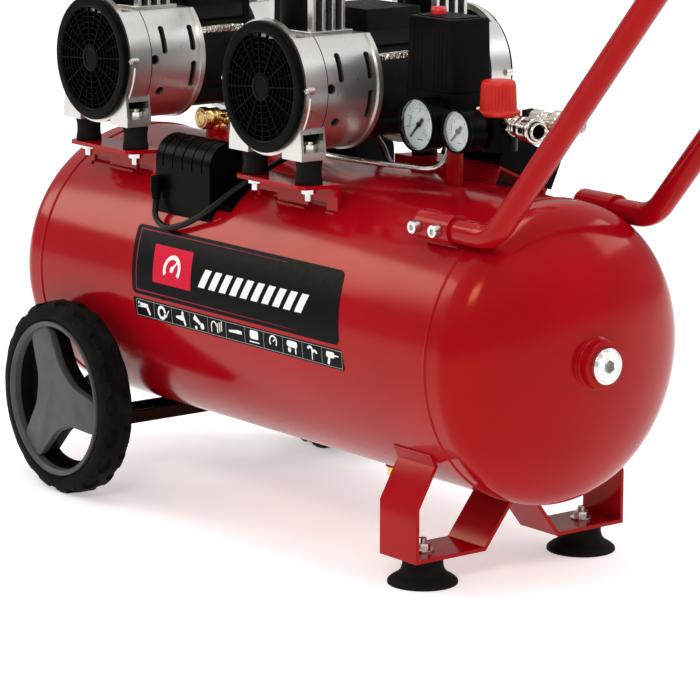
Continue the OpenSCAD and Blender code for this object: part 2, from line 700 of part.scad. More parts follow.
// sloping junction box behind the manifold, on its own welded bracket
junction_tilt = -25;
module on_shoulder() at_tank(214, 38, 388) rotate([junction_tilt, 0, 0]) children();
module junction_box() color("#141414") on_shoulder() {
    translate([-90, 0, 0]) cube([90, 76, 30]);
    translate([-88, 2, 30]) cube([86, 72, 3]);
    for (x = [-80, -10], y = [8, 68]) translate([x, y, 33]) cylinder(r = 3, h = 1.2);
}
module junction_bracket() color("firebrick") cut_by_tank() on_shoulder() {
    translate([-88, 3, -sheet]) cube([86, 70, sheet]);
    translate([-88, 3, -50]) cube([86, sheet, 46]);
    translate([-88, 69, -60]) cube([86, sheet, 56]);
}

// ---- pressure switch ----

module switch_base() color("#161616") difference() {
    at_tank(switch_x, 0, switch_z0) union() {
        translate([-switch_w / 2, -switch_d / 2, 0]) cube([switch_w, switch_d, switch_z1 - switch_z0]);
        translate([-switch_w / 2 - 12, 0, 7]) along_x() cylinder(r = 6.5, h = 14);
    }
    at_tank(switch_x - 16, 0, switch_z0 + 5) cylinder(r = stem_r + 0.3, h = 20);
}

// tapered hood, hollow inside, with shallow ribs on its broad face
module hood(grow, h, taper) linear_extrude(h, scale = taper)
    square([switch_w + grow, switch_d + grow], center = true);
module switch_cover() color("#1a1a1a") difference() {
    at_tank(switch_x, 0, switch_z1) union() {
        hood(0, switch_z2 - switch_z1, 0.955);
        for (x = [-28, -22, -16, 6, 12, 18]) translate([x, -switch_d / 2 - 0.3, 2]) cube([1.6, 2, 50]);
    }
    at_tank(switch_x, 0, switch_z1 - 1) hood(-5, switch_z2 - switch_z1 - 2, 0.955);
    at_tank(switch_x - 16, 0, switch_z1) cylinder(r = 8.5, h = 100);
}

stem_r = 5;
module switch_button() color("#c5161d") at_tank(switch_x - 16, 0, 0) {
    translate([0, 0, switch_z1 - 6]) cylinder(r = stem_r, h = switch_z2 - switch_z1 + 6);
    translate([0, 0, switch_z2 - 6]) cylinder(r = 8, h = 14);
}

// ---- manifold, regulator and outlets ----

// cross block, regulator body with its spindle, and a raised port for the rear coupling
spindle_r = 12;
module manifold() color("#1d1d1d") difference() {
    union() {
        at_tank(switch_x - 24, -15, manifold_z - 15) cube([48, 30, switch_z0 - manifold_z + 15]);
        at_tank(switch_x + 24, 0, manifold_z) along_x() cylinder(r = 11, h = regulator_x - switch_x - 42);
        at_tank(regulator_x, 0, manifold_z - 22) cylinder(r = 19, h = knob_z - manifold_z + 21.7);
        at_tank(regulator_x, 0, knob_z - 1) cylinder(r = spindle_r - running, h = 18);
        at_rear_port() {
            translate([-16, 0, -rear_z + manifold_z - 8]) cube([16, 9, 19]);
            translate([-4, -7, -rear_z + manifold_z - 8]) cube([4, 16, rear_z - manifold_z + 18]);
        }
        // gauge stems
        for (g = gauge_spots) at_tank(g[0], -gauge_y + gauge_d, manifold_z) along_y()
            cylinder(r = 5.5, h = gauge_y - gauge_d - 10);
    }
    at_front() cylinder(r = 6, h = 10);
}
// the front coupling screws into the regulator, the rear one into a riser beside the knob
module at_front_port() at_tank(regulator_x, 0, front_z) rotate(front_turn) translate([18, 0, 0]) children();
module at_rear_port() at_tank(regulator_x + 13, 12, rear_z) rotate(rear_turn) translate([14, 0, 0])
    children();
module at_front() at_front_port() along_x() children();
module at_rear() at_rear_port() along_x() children();

module manifold_post() color("firebrick") cut_by_tank() {
    at_tank(194, -12, 360) cube([20, 5, manifold_z - 15 - 360]);
    at_tank(194, -12, manifold_z - 20) cube([20, 24, 5]);
}

knob_ribs = 24;
knob_r = 17;
module regulator_knob() color("#d93025") at_tank(regulator_x, 0, knob_z) difference() {
    union() {
        cylinder(r = 21.5, h = 5);
        translate([0, 0, 5]) cylinder(r = knob_r, h = 27);
        translate([0, 0, 32]) cylinder(r1 = knob_r, r2 = knob_r - 2, h = 2);
        for (i = [0 : knob_ribs - 1]) rotate(i * 360 / knob_ribs) translate([knob_r, 0, 5])
            cylinder(r = 1.2, h = 25, $fn = 16);
    }
    translate([0, 0, -1]) cylinder(r = spindle_r, h = 19);
}

module gauge_cases() color("#17171a") for (g = gauge_spots) at_tank(g[0], -gauge_y, manifold_z) along_y()
    difference() {
        union() {
            cylinder(r = g[1], h = 4);
            translate([0, 0, 4]) cylinder(r = g[1] - 1, h = gauge_d - 6);
            translate([0, 0, gauge_d - 2]) cylinder(r = 7, h = 2);
        }
        translate([0, 0, -1]) cylinder(r = g[1] - 2.5, h = 8);
    }

module gauge_dials() color("#eef1f4") for (g = gauge_spots) at_tank(g[0], -gauge_y + 6, manifold_z)
    along_y() cylinder(r = g[1] - 2.5, h = 1);

module gauge_lenses() color("#e8f0f5", 0.35) for (g = gauge_spots) at_tank(g[0], -gauge_y + 1, manifold_z)
    along_y() cylinder(r = g[1] - 2.5, h = 1.2);

// pointer at its zero mark, low on the left; it turns clockwise as the pressure rises
module needle(g) at_tank(g[0], -gauge_y + 4.4, manifold_z) rotate([0, 45, 0]) translate([0, 0.6, 0])
    rotate([90, 0, 0]) linear_extrude(1.2) union() {
        circle(r = 2.6);
        polygon([[-1, 0], [-0.35, -g[1] * 0.68], [0.35, -g[1] * 0.68], [1, 0], [1.6, g[1] * 0.3],
            [-1.6, g[1] * 0.3]]);
    }
module needle_tank() color("black") needle(gauge_spots[0]);
module needle_outlet() color("black") needle(gauge_spots[1]);

// quick coupling along Z: shank and hexagon, then the body that its sleeve slides on
module coupling_body() difference() {
    union() {
        cylinder(r = 6, h = 6);
        translate([0, 0, 4]) hex_nut(19, 11);
        translate([0, 0, 15]) cylinder(r = 9, h = 6);
        translate([0, 0, 15]) cylinder(r = 8, h = coupling_len - 9);
        translate([0, 0, 4 + coupling_len]) cylinder(r = 9, h = 3);
    }
    translate([0, 0, coupling_len - 11]) cylinder(r = socket_r, h = 30);
    translate([0, 0, -1]) cylinder(r = 3, h = 80);
}
module coupling_sleeve() difference() {
    union() {
        translate([0, 0, 28]) cylinder(r = 11.5, h = 20);
        translate([0, 0, 48]) cylinder(r = 12.5, h = 6);
    }
    translate([0, 0, 20]) cylinder(r = 9.3, h = 40);
}
module coupling_bodies() color("#c8c4bc") {
    at_front() coupling_body();
    at_rear() coupling_body();
}
module coupling_sleeve_front() color("#bdb7ad") at_front() coupling_sleeve();
module coupling_sleeve_rear() color("#bdb7ad") at_rear() coupling_sleeve();

// safety valve on the manifold's rear, with its pull ring
module safety_valve() color("goldenrod") at_tank(switch_x + 6, 15, manifold_z - 4) along_y() difference() {
    union() {
        hex_nut(14, 8);
        translate([0, 0, 8]) cylinder(r = 6, h = 12);
    }
    translate([0, 0, 12]) cylinder(r = 1.6, h = 20);
}
module safety_ring() color("silver") at_tank(switch_x + 6, 15, manifold_z - 4) along_y() {
    translate([0, 0, 13]) cylinder(r = 1.5, h = 11);
    translate([0, 0, 32]) rotate([90, 0, 0]) rotate_extrude() translate([8.5, 0]) circle(r = 1.2, $fn = 16);
}

// ---- label ----

label_t = 0.5;
module label() color("#101010") intersection() {
    tank_axis() difference() {
        cylinder(r = tank_r + label_t, h = shell_len, center = true, $fn = 160);
        cylinder(r = tank_r, h = shell_len + 2, center = true, $fn = 160);
    }
    at_tank(0, -100, 0) rotate([90, 0, 0]) linear_extrude(100)
        polygon([[-165, 294], [185, 296], [203, 206], [-148, 203]]);
}

tank_shell();
tank_head_left();
tank_head_right();
end_plugs();
drain_valve();
drain_screw();
foot_straps();
rubber_feet();
foot_bolts();
wheel_bracket();
axle_bolts();
wheel_hub_front();
tyre_front();
wheel_hub_rear();
tyre_rear();
handle_tube();
handle_grip();
handle_sleeves();
handle_screws();
pump_brackets();
rubber_mounts();
mount_bolts();
crankcases();
stators();
bearings();
fan_guards();
rotor(pump_a_x);  // pump_a_rotor
rotor(pump_b_x);  // pump_b_rotor
fans(pump_a_x);  // pump_a_fans
fans(pump_b_x);  // pump_b_fans
pistons(pump_a_x);  // pump_a_pistons
pistons(pump_b_x);  // pump_b_pistons
finned_cylinders();
cylinder_heads();
intake_silencers();
head_link_tubes();
discharge_hoses();
check_valve();
unloader_pipe();
capacitor_boxes();
capacitor_leads();
junction_box();
junction_bracket();
switch_base();
switch_cover();
switch_button();
manifold();
manifold_post();
regulator_knob();
gauge_cases();
gauge_dials();
gauge_lenses();
needle_tank();
needle_outlet();
coupling_bodies();
coupling_sleeve_front();
coupling_sleeve_rear();
safety_valve();
safety_ring();
label();
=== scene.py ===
"""Looks of a two-pump air compressor on a fifty litre tank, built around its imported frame.

Lengths are in millimetres from the tank's middle, as in the design; at() and axis_at() turn
them into the frame's metres. A stand-in rides on its node's body and takes its node's finish.
"""
import json
import math
import random

import bmesh
import bpy
from mathutils import Matrix, Vector

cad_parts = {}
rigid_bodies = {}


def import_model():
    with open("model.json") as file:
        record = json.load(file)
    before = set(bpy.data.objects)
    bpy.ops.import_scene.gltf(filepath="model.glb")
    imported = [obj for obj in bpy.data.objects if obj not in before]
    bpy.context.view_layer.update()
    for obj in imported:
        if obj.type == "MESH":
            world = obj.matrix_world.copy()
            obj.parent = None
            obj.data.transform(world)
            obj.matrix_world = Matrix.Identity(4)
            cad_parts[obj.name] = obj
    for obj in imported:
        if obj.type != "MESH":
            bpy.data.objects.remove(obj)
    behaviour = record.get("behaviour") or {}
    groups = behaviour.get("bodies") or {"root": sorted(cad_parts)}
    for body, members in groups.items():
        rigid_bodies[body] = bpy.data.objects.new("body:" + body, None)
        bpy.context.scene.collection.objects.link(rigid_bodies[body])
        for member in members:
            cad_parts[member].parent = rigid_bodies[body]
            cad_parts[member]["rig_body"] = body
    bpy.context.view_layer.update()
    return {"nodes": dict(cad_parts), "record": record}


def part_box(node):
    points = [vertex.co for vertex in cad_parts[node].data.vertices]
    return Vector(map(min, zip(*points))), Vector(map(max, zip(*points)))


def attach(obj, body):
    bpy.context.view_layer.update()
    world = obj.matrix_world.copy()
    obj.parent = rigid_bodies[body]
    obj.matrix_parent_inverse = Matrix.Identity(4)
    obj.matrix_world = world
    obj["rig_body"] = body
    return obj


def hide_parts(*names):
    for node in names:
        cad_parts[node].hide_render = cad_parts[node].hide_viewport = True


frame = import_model()
nodes = frame["nodes"]
scene = bpy.context.scene
dice = random.Random(11)

MM = 0.001
SIDES = (-1, 1)
SLOTS = {part["node"]: part["material_slot"] for part in frame["record"]["subparts"]}


# ---- places, worked out from the frame ----

def middle(node, axis):
    low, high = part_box(node)
    return (low[axis] + high[axis]) / 2


TANK_X = middle("tank_shell", 0)
TANK_Z = middle("tank_head_left", 2) / MM
TANK_R = (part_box("tank_head_left")[1].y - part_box("tank_head_left")[0].y) / 2 / MM
SEAM_X = (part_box("tank_shell")[1].x - TANK_X) / MM
WHEEL_X = (middle("tyre_front", 0) - TANK_X) / MM
WHEEL_Z = middle("tyre_front", 2) / MM
PUMPS = {letter: (middle(f"pump_{letter}_rotor", 0) - TANK_X) / MM for letter in "ab"}
SHAFT_Z = middle("pump_a_rotor", 2) / MM


def at(x, y, z):
    """A point given in millimetres from the tank's middle, in the frame's metres."""
    return Vector((TANK_X + x * MM, y * MM, z * MM))


def axis_at(x, y, z, toward=(0, 0, 1)):
    """A millimetre frame at that point, its Z along toward."""
    turn = Vector(toward).to_track_quat("Z", "Y").to_matrix().to_4x4()
    return Matrix.Translation(at(x, y, z)) @ turn @ Matrix.Scale(MM, 4)


def facing(x, y, z, side):
    """A millimetre frame at that point, its Z out of the front (-1) or the rear (1)."""
    turn = Matrix(((1, 0, 0), (0, 0, side), (0, -side, 0))).to_4x4()
    return Matrix.Translation(at(x, y, z)) @ turn @ Matrix.Scale(MM, 4)


def spun(where, angle):
    return where @ Matrix.Rotation(angle, 4, "Z")


def turns(count):
    """The angles that share out a full turn."""
    return [2 * math.pi * k / count for k in range(count)]


def polar(r, a, *rest):
    return (r * math.cos(a), r * math.sin(a), *rest)


# ---- camera ----

def aim_camera():
    """A long lens from the front right, a little above the tank."""
    azimuth, elevation, roll = (math.radians(a) for a in (52.02, 11.68, 0.15))
    distance = 3.5
    out = Vector((math.sin(azimuth) * math.cos(elevation),
                  -math.cos(azimuth) * math.cos(elevation), math.sin(elevation)))
    camera = bpy.data.objects.new("camera", bpy.data.cameras.new("camera"))
    scene.collection.objects.link(camera)
    camera.data.sensor_width = 36
    camera.data.lens = 175.2
    camera.data.clip_end = 60
    look = (-out).to_track_quat("-Z", "Y").to_matrix().to_4x4()
    place = Matrix.Translation(at(28.9, -1.8, 176.4) + distance * out)
    camera.matrix_world = spun(place @ look, roll)
    scene.camera = camera


aim_camera()


# ---- shapes ----

def smooth_path(points, steps):
    """A Catmull-Rom curve through the points, with a few steps between each pair."""
    points = [Vector(p) for p in points]
    out = []
    for i in range(len(points) - 1):
        a, b = points[max(i - 1, 0)], points[i]
        c, d = points[i + 1], points[min(i + 2, len(points) - 1)]
        for k in range(steps):
            t = k / steps
            out.append(0.5 * (2 * b + (c - a) * t + (2 * a - 5 * b + 4 * c - d) * t * t
                              + (3 * b - a - 3 * c + d) * t ** 3))
    return out + [points[-1]]


def bent_path(corners, radii, step=3):
    """Straight runs joined by true arcs: one bend radius for each inner corner."""
    corners = [Vector(c) for c in corners]
    out = [corners[0]]
    for i, radius in enumerate(radii, 1):
        back = (corners[i - 1] - corners[i]).normalized()
        ahead = (corners[i + 1] - corners[i]).normalized()
        half = back.angle(ahead) / 2
        cut = radius / math.tan(half)
        hub = corners[i] + (back + ahead).normalized() * (radius / math.sin(half))
        first = corners[i] + back * cut - hub
        last = corners[i] + ahead * cut - hub
        sweep = first.angle(last)
        count = max(3, round(math.degrees(sweep) / step))
        pivot = first.cross(last).normalized()
        for k in range(count + 1):
            out.append(hub + Matrix.Rotation(sweep * k / count, 3, pivot) @ first)
    return out + [corners[-1]]


def rounded(points, radius, steps=4, closed=True):
    """The outline with each corner cut back by radius and curved."""
    out = []
    for i, point in enumerate(points):
        p = Vector(point)
        if not closed and i in (0, len(points) - 1):
            out.append(tuple(p))
            continue
        back, ahead = Vector(points[i - 1]) - p, Vector(points[(i + 1) % len(points)]) - p
        a = p + back.normalized() * min(radius, back.length * 0.45)
        b = p + ahead.normalized() * min(radius, ahead.length * 0.45)
        for k in range(steps + 1):
            t = k / steps
            out.append(tuple((1 - t) ** 2 * a + 2 * t * (1 - t) * p + t * t * b))
    return out


def circle(radius, count, x, y):
    return [(x + radius * math.cos(a), y + radius * math.sin(a)) for a in turns(count)]


def arc(x, y, outer, inner, start, end, count=18):
    """A bent strip about a point, from one angle to another."""
    turn = [math.radians(start + (end - start) * k / count) for k in range(count + 1)]
    return [(x + r * math.cos(a), y + r * math.sin(a))
            for r, way in ((outer, turn), (inner, turn[::-1])) for a in way]


def rectangle(x0, y0, x1, y1):
    return [(x0, y0), (x1, y0), (x1, y1), (x0, y1)]


def ring(work, points, where=Matrix()):
    return [work.verts.new(where @ Vector(p)) for p in points]


def loft(work, rows, where=Matrix(), around=True, closed=False):
    """Faces between rows of points; a row of one point is a tip."""
    rings = [ring(work, row, where) for row in rows]
    for a, b in zip(rings, rings[1:] + rings[:1] if closed else rings[1:]):
        count = max(len(a), len(b))
        for k in range(count if around else count - 1):
            n = (k + 1) % count
            corners = [a[k % len(a)], a[n % len(a)], b[n % len(b)], b[k % len(b)]]
            corners = list(dict.fromkeys(corners))
            if len(corners) > 2:
                work.faces.new(corners)
    if not closed:
        for end in (rings[0], rings[-1]):
            if len(end) > 2:
                work.faces.new(end)
    return rings


def turned(work, profile, where, segments=64):
    """A lathe shape about local Z, from (radius, height) pairs. A profile that doesn't start
    and end on the axis is a ring."""
    tip = 1e-6
    rows = [[polar(r, a, h) for a in turns(1 if r < tip else segments)] for r, h in profile]
    loft(work, rows, where, closed=profile[0][0] > tip and profile[-1][0] > tip)


def collar(work, points, radius, where, segments=64, steps=4):
    """A turned ring with its section's corners rounded."""
    turned(work, rounded(points, radius, steps), where, segments)


def knob(work, points, radius, where, segments=64, steps=4, tip=0.0):
    """A turned solid, closed flat at both ends, or with its top raised by tip."""
    soft = rounded(points, radius, steps, closed=False)
    turned(work, [(0, points[0][1]), *soft, (0, points[-1][1] + tip)], where, segments)


def extruded(work, outline, low, high, where):
    loft(work, [[(x, y, z) for x, y in outline] for z in (low, high)], where)


def block(work, low, high, where):
    extruded(work, rectangle(low[0], low[1], high[0], high[1]), low[2], high[2], where)


def swept(path):
    """Each point of the path with two directions across it, carried along without a twist."""
    last = len(path) - 1
    side = (path[1] - path[0]).normalized().orthogonal().normalized()
    out = []
    for i, p in enumerate(path):
        heading = (path[min(i + 1, last)] - path[max(i - 1, 0)]).normalized()
        side = (side - side.dot(heading) * heading).normalized()
        out.append((p, side, heading.cross(side)))
    return out


def tube(work, path, radius, sides=12):
    """A round bar along the path; radius may be a list with one for each point."""
    radii = radius if isinstance(radius, list) else [radius] * len(path)
    loft(work, [[p + r * (math.cos(a) * u + math.sin(a) * v) for a in turns(sides)]
                for (p, u, v), r in zip(swept(path), radii)])


def pipe(work, route, radius, steps, sides=20):
    """A tube along a smooth route, both in millimetres; gives the path it follows."""
    path = [at(*p) for p in smooth_path(route, steps)]
    tube(work, path, radius * MM, sides)
    return path


def hex_nut(work, across, low, high, where, start=0):
    """A hexagon whose corners are turned off at both ends."""
    flat = across / 2
    drop = (flat / math.cos(math.pi / 6) - flat) * 0.6
    reach = [flat / math.cos((a - math.radians(start)) % (math.pi / 3) - math.pi / 6)
             for a in turns(48)]
    cut = [min(r, flat * 1.01) for r in reach]
    loft(work, [[polar(r, a, z) for r, a in zip(radii, turns(48))] for radii, z in (
        (cut, low), (reach, low + drop), (reach, high - drop), (cut, high))], where)


def knurled(work, radius, low, high, depth, count, where, inner=None):
    """A turned band with a diamond knurl."""
    rows = max(4, round((high - low) / (math.pi * radius / count)) * 2)
    levels = [(low + (high - low) * j / rows, [
        radius - (depth if (j + k) % 2 and 0 < j < rows else 0) for k in range(2 * count)])
        for j in range(rows + 1)]
    if inner:
        levels += [(z, [inner] * 2 * count) for z in (high, low)]
    loft(work, [[polar(r, a, z) for r, a in zip(radii, turns(2 * count))]
                for z, radii in levels], where, closed=bool(inner))


# ---- pieces ----

def piece(name, work, finish, body="compressor", replaces=(), bevel=0.0, smooth=32, paint=None):
    """Makes the bmesh, which is in metres by now, one object of the part."""
    bmesh.ops.recalc_face_normals(work, faces=work.faces)
    mesh = bpy.data.meshes.new(name)
    work.to_mesh(mesh)
    work.free()
    settle(bpy.data.objects.new(name, mesh), finish, body, replaces, bevel, smooth, paint)


def settle(obj, finish, body="compressor", replaces=(), bevel=0.0, smooth=32, paint=None):
    scene.collection.objects.link(obj)
    obj.data.materials.append(paint or FINISHES[finish])
    obj.data.shade_smooth()
    obj.data.set_sharp_from_angle(angle=math.radians(smooth))
    if bevel:
        edge = obj.modifiers.new("edges", "BEVEL")
        edge.width = bevel * MM
        edge.segments = 2
        edge.limit_method = "ANGLE"
        edge.angle_limit = math.radians(smooth)
        edge.harden_normals = True
        obj.modifiers.new("normals", "WEIGHTED_NORMAL").keep_sharp = True
    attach(obj, body)
    if replaces:
        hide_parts(*replaces)


def stand_in(node, work, smooth=35, **more):
    """A modelled piece in place of a node, on its body and in its slot."""
    piece(f"{node}_finish", work, SLOTS[node], nodes[node]["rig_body"], (node,), smooth=smooth,
          **more)


def dressed(node, bevel, smooth=32):
    """The design's own shape for a node, welded, with its sharp edges rounded over."""
    source = nodes[node].data
    work = bmesh.new()
    spots = [work.verts.new(v.co) for v in source.vertices]
    for polygon in source.polygons:
        corners = list(dict.fromkeys(spots[v] for v in polygon.vertices))
        if len(corners) > 2 and not work.faces.get(corners):
            work.faces.new(corners)
    bmesh.ops.remove_doubles(work, verts=work.verts, dist=2e-6)
    bmesh.ops.dissolve_degenerate(work, dist=1e-6, edges=work.edges)
    bmesh.ops.dissolve_limit(work, angle_limit=math.radians(0.6), verts=work.verts,
                             edges=work.edges)
    stand_in(node, work, smooth, bevel=bevel)


def dress(**bevels):
    for node, bevel in bevels.items():
        dressed(node, bevel)


# ---- finishes ----

class Surface:
    """One Principled material and the few procedural patterns that the finishes share."""

    def __init__(self, name, **sockets):
        self.material = bpy.data.materials.new(name)
        self.material.use_nodes = True
        self.tree = self.material.node_tree
        self.shader = self.tree.nodes["Principled BSDF"]
        for socket, value in sockets.items():
            self.shader.inputs[socket.replace("_", " ")].default_value = value
        self.place = self.tree.nodes.new("ShaderNodeTexCoord").outputs["Object"]

    def give(self, socket, value):
        """A plain value for the socket, or a link from another node's output."""
        if isinstance(value, bpy.types.NodeSocket):
            self.tree.links.new(value, socket)
        else:
            socket.default_value = value

    def add(self, kind, inputs, **settings):
        made = self.tree.nodes.new("ShaderNode" + kind)
        for key, value in settings.items():
            setattr(made, key, value)
        for socket, value in inputs.items():
            self.give(made.inputs[socket], value)
        return made

    def stretched(self, x, y, z):
        """Coordinates scaled by axis, for a pattern drawn out along one of them."""
        return self.add("Mapping", {"Scale": (x, y, z), "Vector": self.place}).outputs["Vector"]

    def noise(self, scale, detail=4.0, rough=0.55, place=None):
        return self.add("TexNoise", {"Scale": scale, "Detail": detail, "Roughness": rough,
                                     "Vector": place or self.place}).outputs["Fac"]

    def cells(self, scale):
        return self.add("TexVoronoi", {"Scale": scale, "Vector": self.place}).outputs["Distance"]

    def ramp(self, source, *stops):
        """Colours, or greys for plain numbers, at places from 0 to 1."""
        made = self.add("ValToRGB", {"Fac": source})
        elements = made.color_ramp.elements
        while len(elements) < len(stops):
            elements.new(0.5)
        for element, (place, colour) in zip(elements, stops):
            grey = isinstance(colour, (int, float))
            element.position = place
            element.color = (colour, colour, colour, 1) if grey else (*colour, 1)
        return made.outputs["Color"]

    def spread(self, source, low, high, end=0.7):
        return self.ramp(source, (0.3, low), (end, high))

    def patchy(self, scale, detail, low, high, end=0.7):
        return self.spread(self.noise(scale, detail), low, high, end)

    def mix(self, share, under, over):
        over = (*over, 1) if isinstance(over, tuple) else over
        return self.add("Mix", {"Factor": share, "A": under, "B": over},
                        data_type="RGBA").outputs["Result"]

    def math(self, operation, a, b):
        made = self.add("Math", {}, operation=operation)
        self.give(made.inputs[0], a)
        self.give(made.inputs[1], b)
        return made.outputs["Value"]

    def made(self, colour, rough, *relief):
        """The material, with its colour, roughness and bump layers. A layer is a height, the
        depth it stands for in millimetres and its strength."""
        self.give(self.shader.inputs["Base Color"], colour)
        self.give(self.shader.inputs["Roughness"], rough)
        under = None
        for height, depth, strength in relief:
            layer = {"Distance": depth * MM, "Strength": strength, "Height": height}
            if under:
                layer["Normal"] = under
            under = self.add("Bump", layer).outputs["Normal"]
        if under:
            self.give(self.shader.inputs["Normal"], under)
        return self.material


def enamel(name, shade, deep, level=0.23):
    """Gloss enamel on sheet steel: orange peel, slow waves in the sheet and a faint mottle."""
    s = Surface(name, Specular_IOR_Level=level, Specular_Tint=(1.0, 0.42, 0.20, 1))
    return s.made(s.patchy(9, 5, deep, shade), s.patchy(40, 3, 0.11, 0.17),
                  (s.noise(110, 1), 0.006, 0.05), (s.noise(7, 1), 1.2, 0.10))


def cast_metal():
    """Shot-blasted die casting: a fine warm grey speckle with a satin shine."""
    s = Surface("cast_aluminium", Metallic=0.95, Specular_IOR_Level=0.5)
    speckle = s.spread(s.noise(500, 2, 0.6), (0.57, 0.545, 0.51), (0.70, 0.68, 0.65))
    return s.made(s.mix(s.noise(14, 4), speckle, (0.66, 0.64, 0.61)),
                  s.patchy(90, 3, 0.27, 0.34),
                  (s.noise(120, 1), 0.006, 0.05), (s.noise(30, 1), 0.10, 0.10))


def machined_metal():
    """Turned aluminium with fine tool marks."""
    s = Surface("machined_aluminium", Metallic=1.0)
    streaks = s.noise(900, 3, 0.6, s.stretched(0.15, 1, 1))
    return s.made(s.spread(streaks, (0.62, 0.62, 0.61), (0.80, 0.80, 0.79)),
                  s.patchy(180, 4, 0.20, 0.34), (streaks, 0.02, 0.3))


def zinc():
    """Bright zinc plating, a little cloudy."""
    s = Surface("zinc_steel", Metallic=1.0)
    return s.made(s.patchy(160, 5, (0.60, 0.60, 0.58), (0.83, 0.83, 0.82)),
                  s.patchy(320, 3, 0.18, 0.36), (s.noise(700, 2), 0.03, 0.3))


def nickel():
    """Polished nickel with a warm tint and fine handling scratches."""
    s = Surface("nickel_steel", Metallic=1.0)
    scratches = s.noise(2600, 2, 0.5, s.stretched(1, 0.08, 1))
    return s.made(s.patchy(120, 4, (0.52, 0.48, 0.42), (0.70, 0.66, 0.60)),
                  s.ramp(scratches, (0.4, 0.09), (0.75, 0.24)), (scratches, 0.008, 0.3))


def brass():
    s = Surface("brass", Metallic=1.0)
    return s.made(s.ramp(s.noise(150, 5), (0.25, (0.55, 0.33, 0.09)), (0.5, (0.78, 0.54, 0.18)),
                         (0.75, (0.90, 0.70, 0.32))),
                  s.patchy(420, 3, 0.16, 0.34), (s.noise(900, 3), 0.02, 0.35))


def sprayed_brass():
    """Brass that caught the tank's red paint: bare above, painted below, speckled between."""
    s = Surface("sprayed_brass", Coat_Weight=0.2, Coat_Roughness=0.2)
    bare = s.patchy(150, 5, (0.62, 0.39, 0.11), (0.88, 0.66, 0.28))
    height = s.add("SeparateXYZ", {"Vector": s.place}).outputs["Z"]
    lift = s.math("ADD", s.math("MULTIPLY", height, 60.0), -22.95)
    share = s.ramp(s.math("ADD", lift, s.math("MULTIPLY", s.noise(420, 3), 0.9)),
                   (0.35, 1.0), (0.6, 0.0))
    s.give(s.shader.inputs["Metallic"], s.ramp(share, (0.2, 1.0), (0.8, 0.0)))
    return s.made(s.mix(share, bare, (0.47, 0.012, 0.012)), s.patchy(420, 3, 0.20, 0.38),
                  (s.noise(900, 3), 0.03, 0.35))


def laminations():
    """A stack of punched steel sheets under black lacquer: fine bands along the shaft."""
    s = Surface("motor_steel", Specular_IOR_Level=0.08)
    bands = s.add("TexWave", {"Scale": 310, "Distortion": 0.4, "Vector": s.place},
                  wave_type="BANDS", bands_direction="Y").outputs["Fac"]
    return s.made(s.patchy(80, 5, 0.002, (0.005, 0.005, 0.0048)),
                  s.patchy(260, 4, 0.38, 0.62), (bands, 0.12, 0.6))


def moulded(name, shade, light, gloss, level=0.03, scatter=0.0):
    """Moulded plastic with a spark-eroded grain and a slightly uneven shine."""
    s = Surface(name, Specular_IOR_Level=level, Subsurface_Weight=scatter)
    return s.made(s.patchy(45, 5, shade, light, 0.72),
                  s.patchy(300, 4, gloss - 0.06, gloss + 0.08),
                  (s.cells(1100), 0.05, 0.3), (s.noise(440, 2), 0.05, 0.2))


def rubber(name, shade, dust, dusting=0.62):
    """Vulcanised rubber: matt, finely pitted, with pale dust in patches."""
    s = Surface(name, Specular_IOR_Level=0.04)
    patches = s.ramp(s.noise(26, 7, 0.65), (dusting - 0.16, 0.0), (dusting + 0.16, 1.0))
    clean = s.patchy(500, 3, shade, tuple(1.7 * c for c in shade), 0.8)
    return s.made(s.mix(patches, clean, dust), s.patchy(200, 5, 0.5, 0.66),
                  (s.noise(1400, 3), 0.06, 0.4), (s.noise(90, 4), 0.2, 0.15))


def foam():
    """Closed-cell foam of the grip."""
    s = Surface("mount_rubber_foam", Specular_IOR_Level=0.25, Sheen_Weight=0.15)
    pores = s.cells(900)
    return s.made(s.ramp(pores, (0.1, 0.006), (0.6, (0.026, 0.026, 0.027))),
                  s.patchy(150, 4, 0.74, 0.92), (pores, 0.25, 0.6),
                  (s.noise(60, 3), 0.3, 0.2))


def dial_face():
    """Printed dial: cool white lacquer with a faint unevenness."""
    s = Surface("dial_print")
    return s.made(s.patchy(90, 4, (0.74, 0.82, 0.87), (0.86, 0.91, 0.94)),
                  s.patchy(300, 3, 0.42, 0.55), (s.noise(900, 2), 0.01, 0.2))


def ink(name, shade, light):
    """A printed or painted colour with the slight mottle of the print."""
    s = Surface(name, Specular_IOR_Level=0.06)
    return s.made(s.patchy(600, 4, shade, light), s.patchy(240, 4, 0.34, 0.48),
                  (s.noise(1300, 2), 0.01, 0.2))


def clear_lens():
    s = Surface("lens_clear", Transmission_Weight=1.0, IOR=1.45)
    return s.made((0.97, 0.985, 0.99, 1), s.patchy(200, 3, 0.0, 0.035, 0.8))


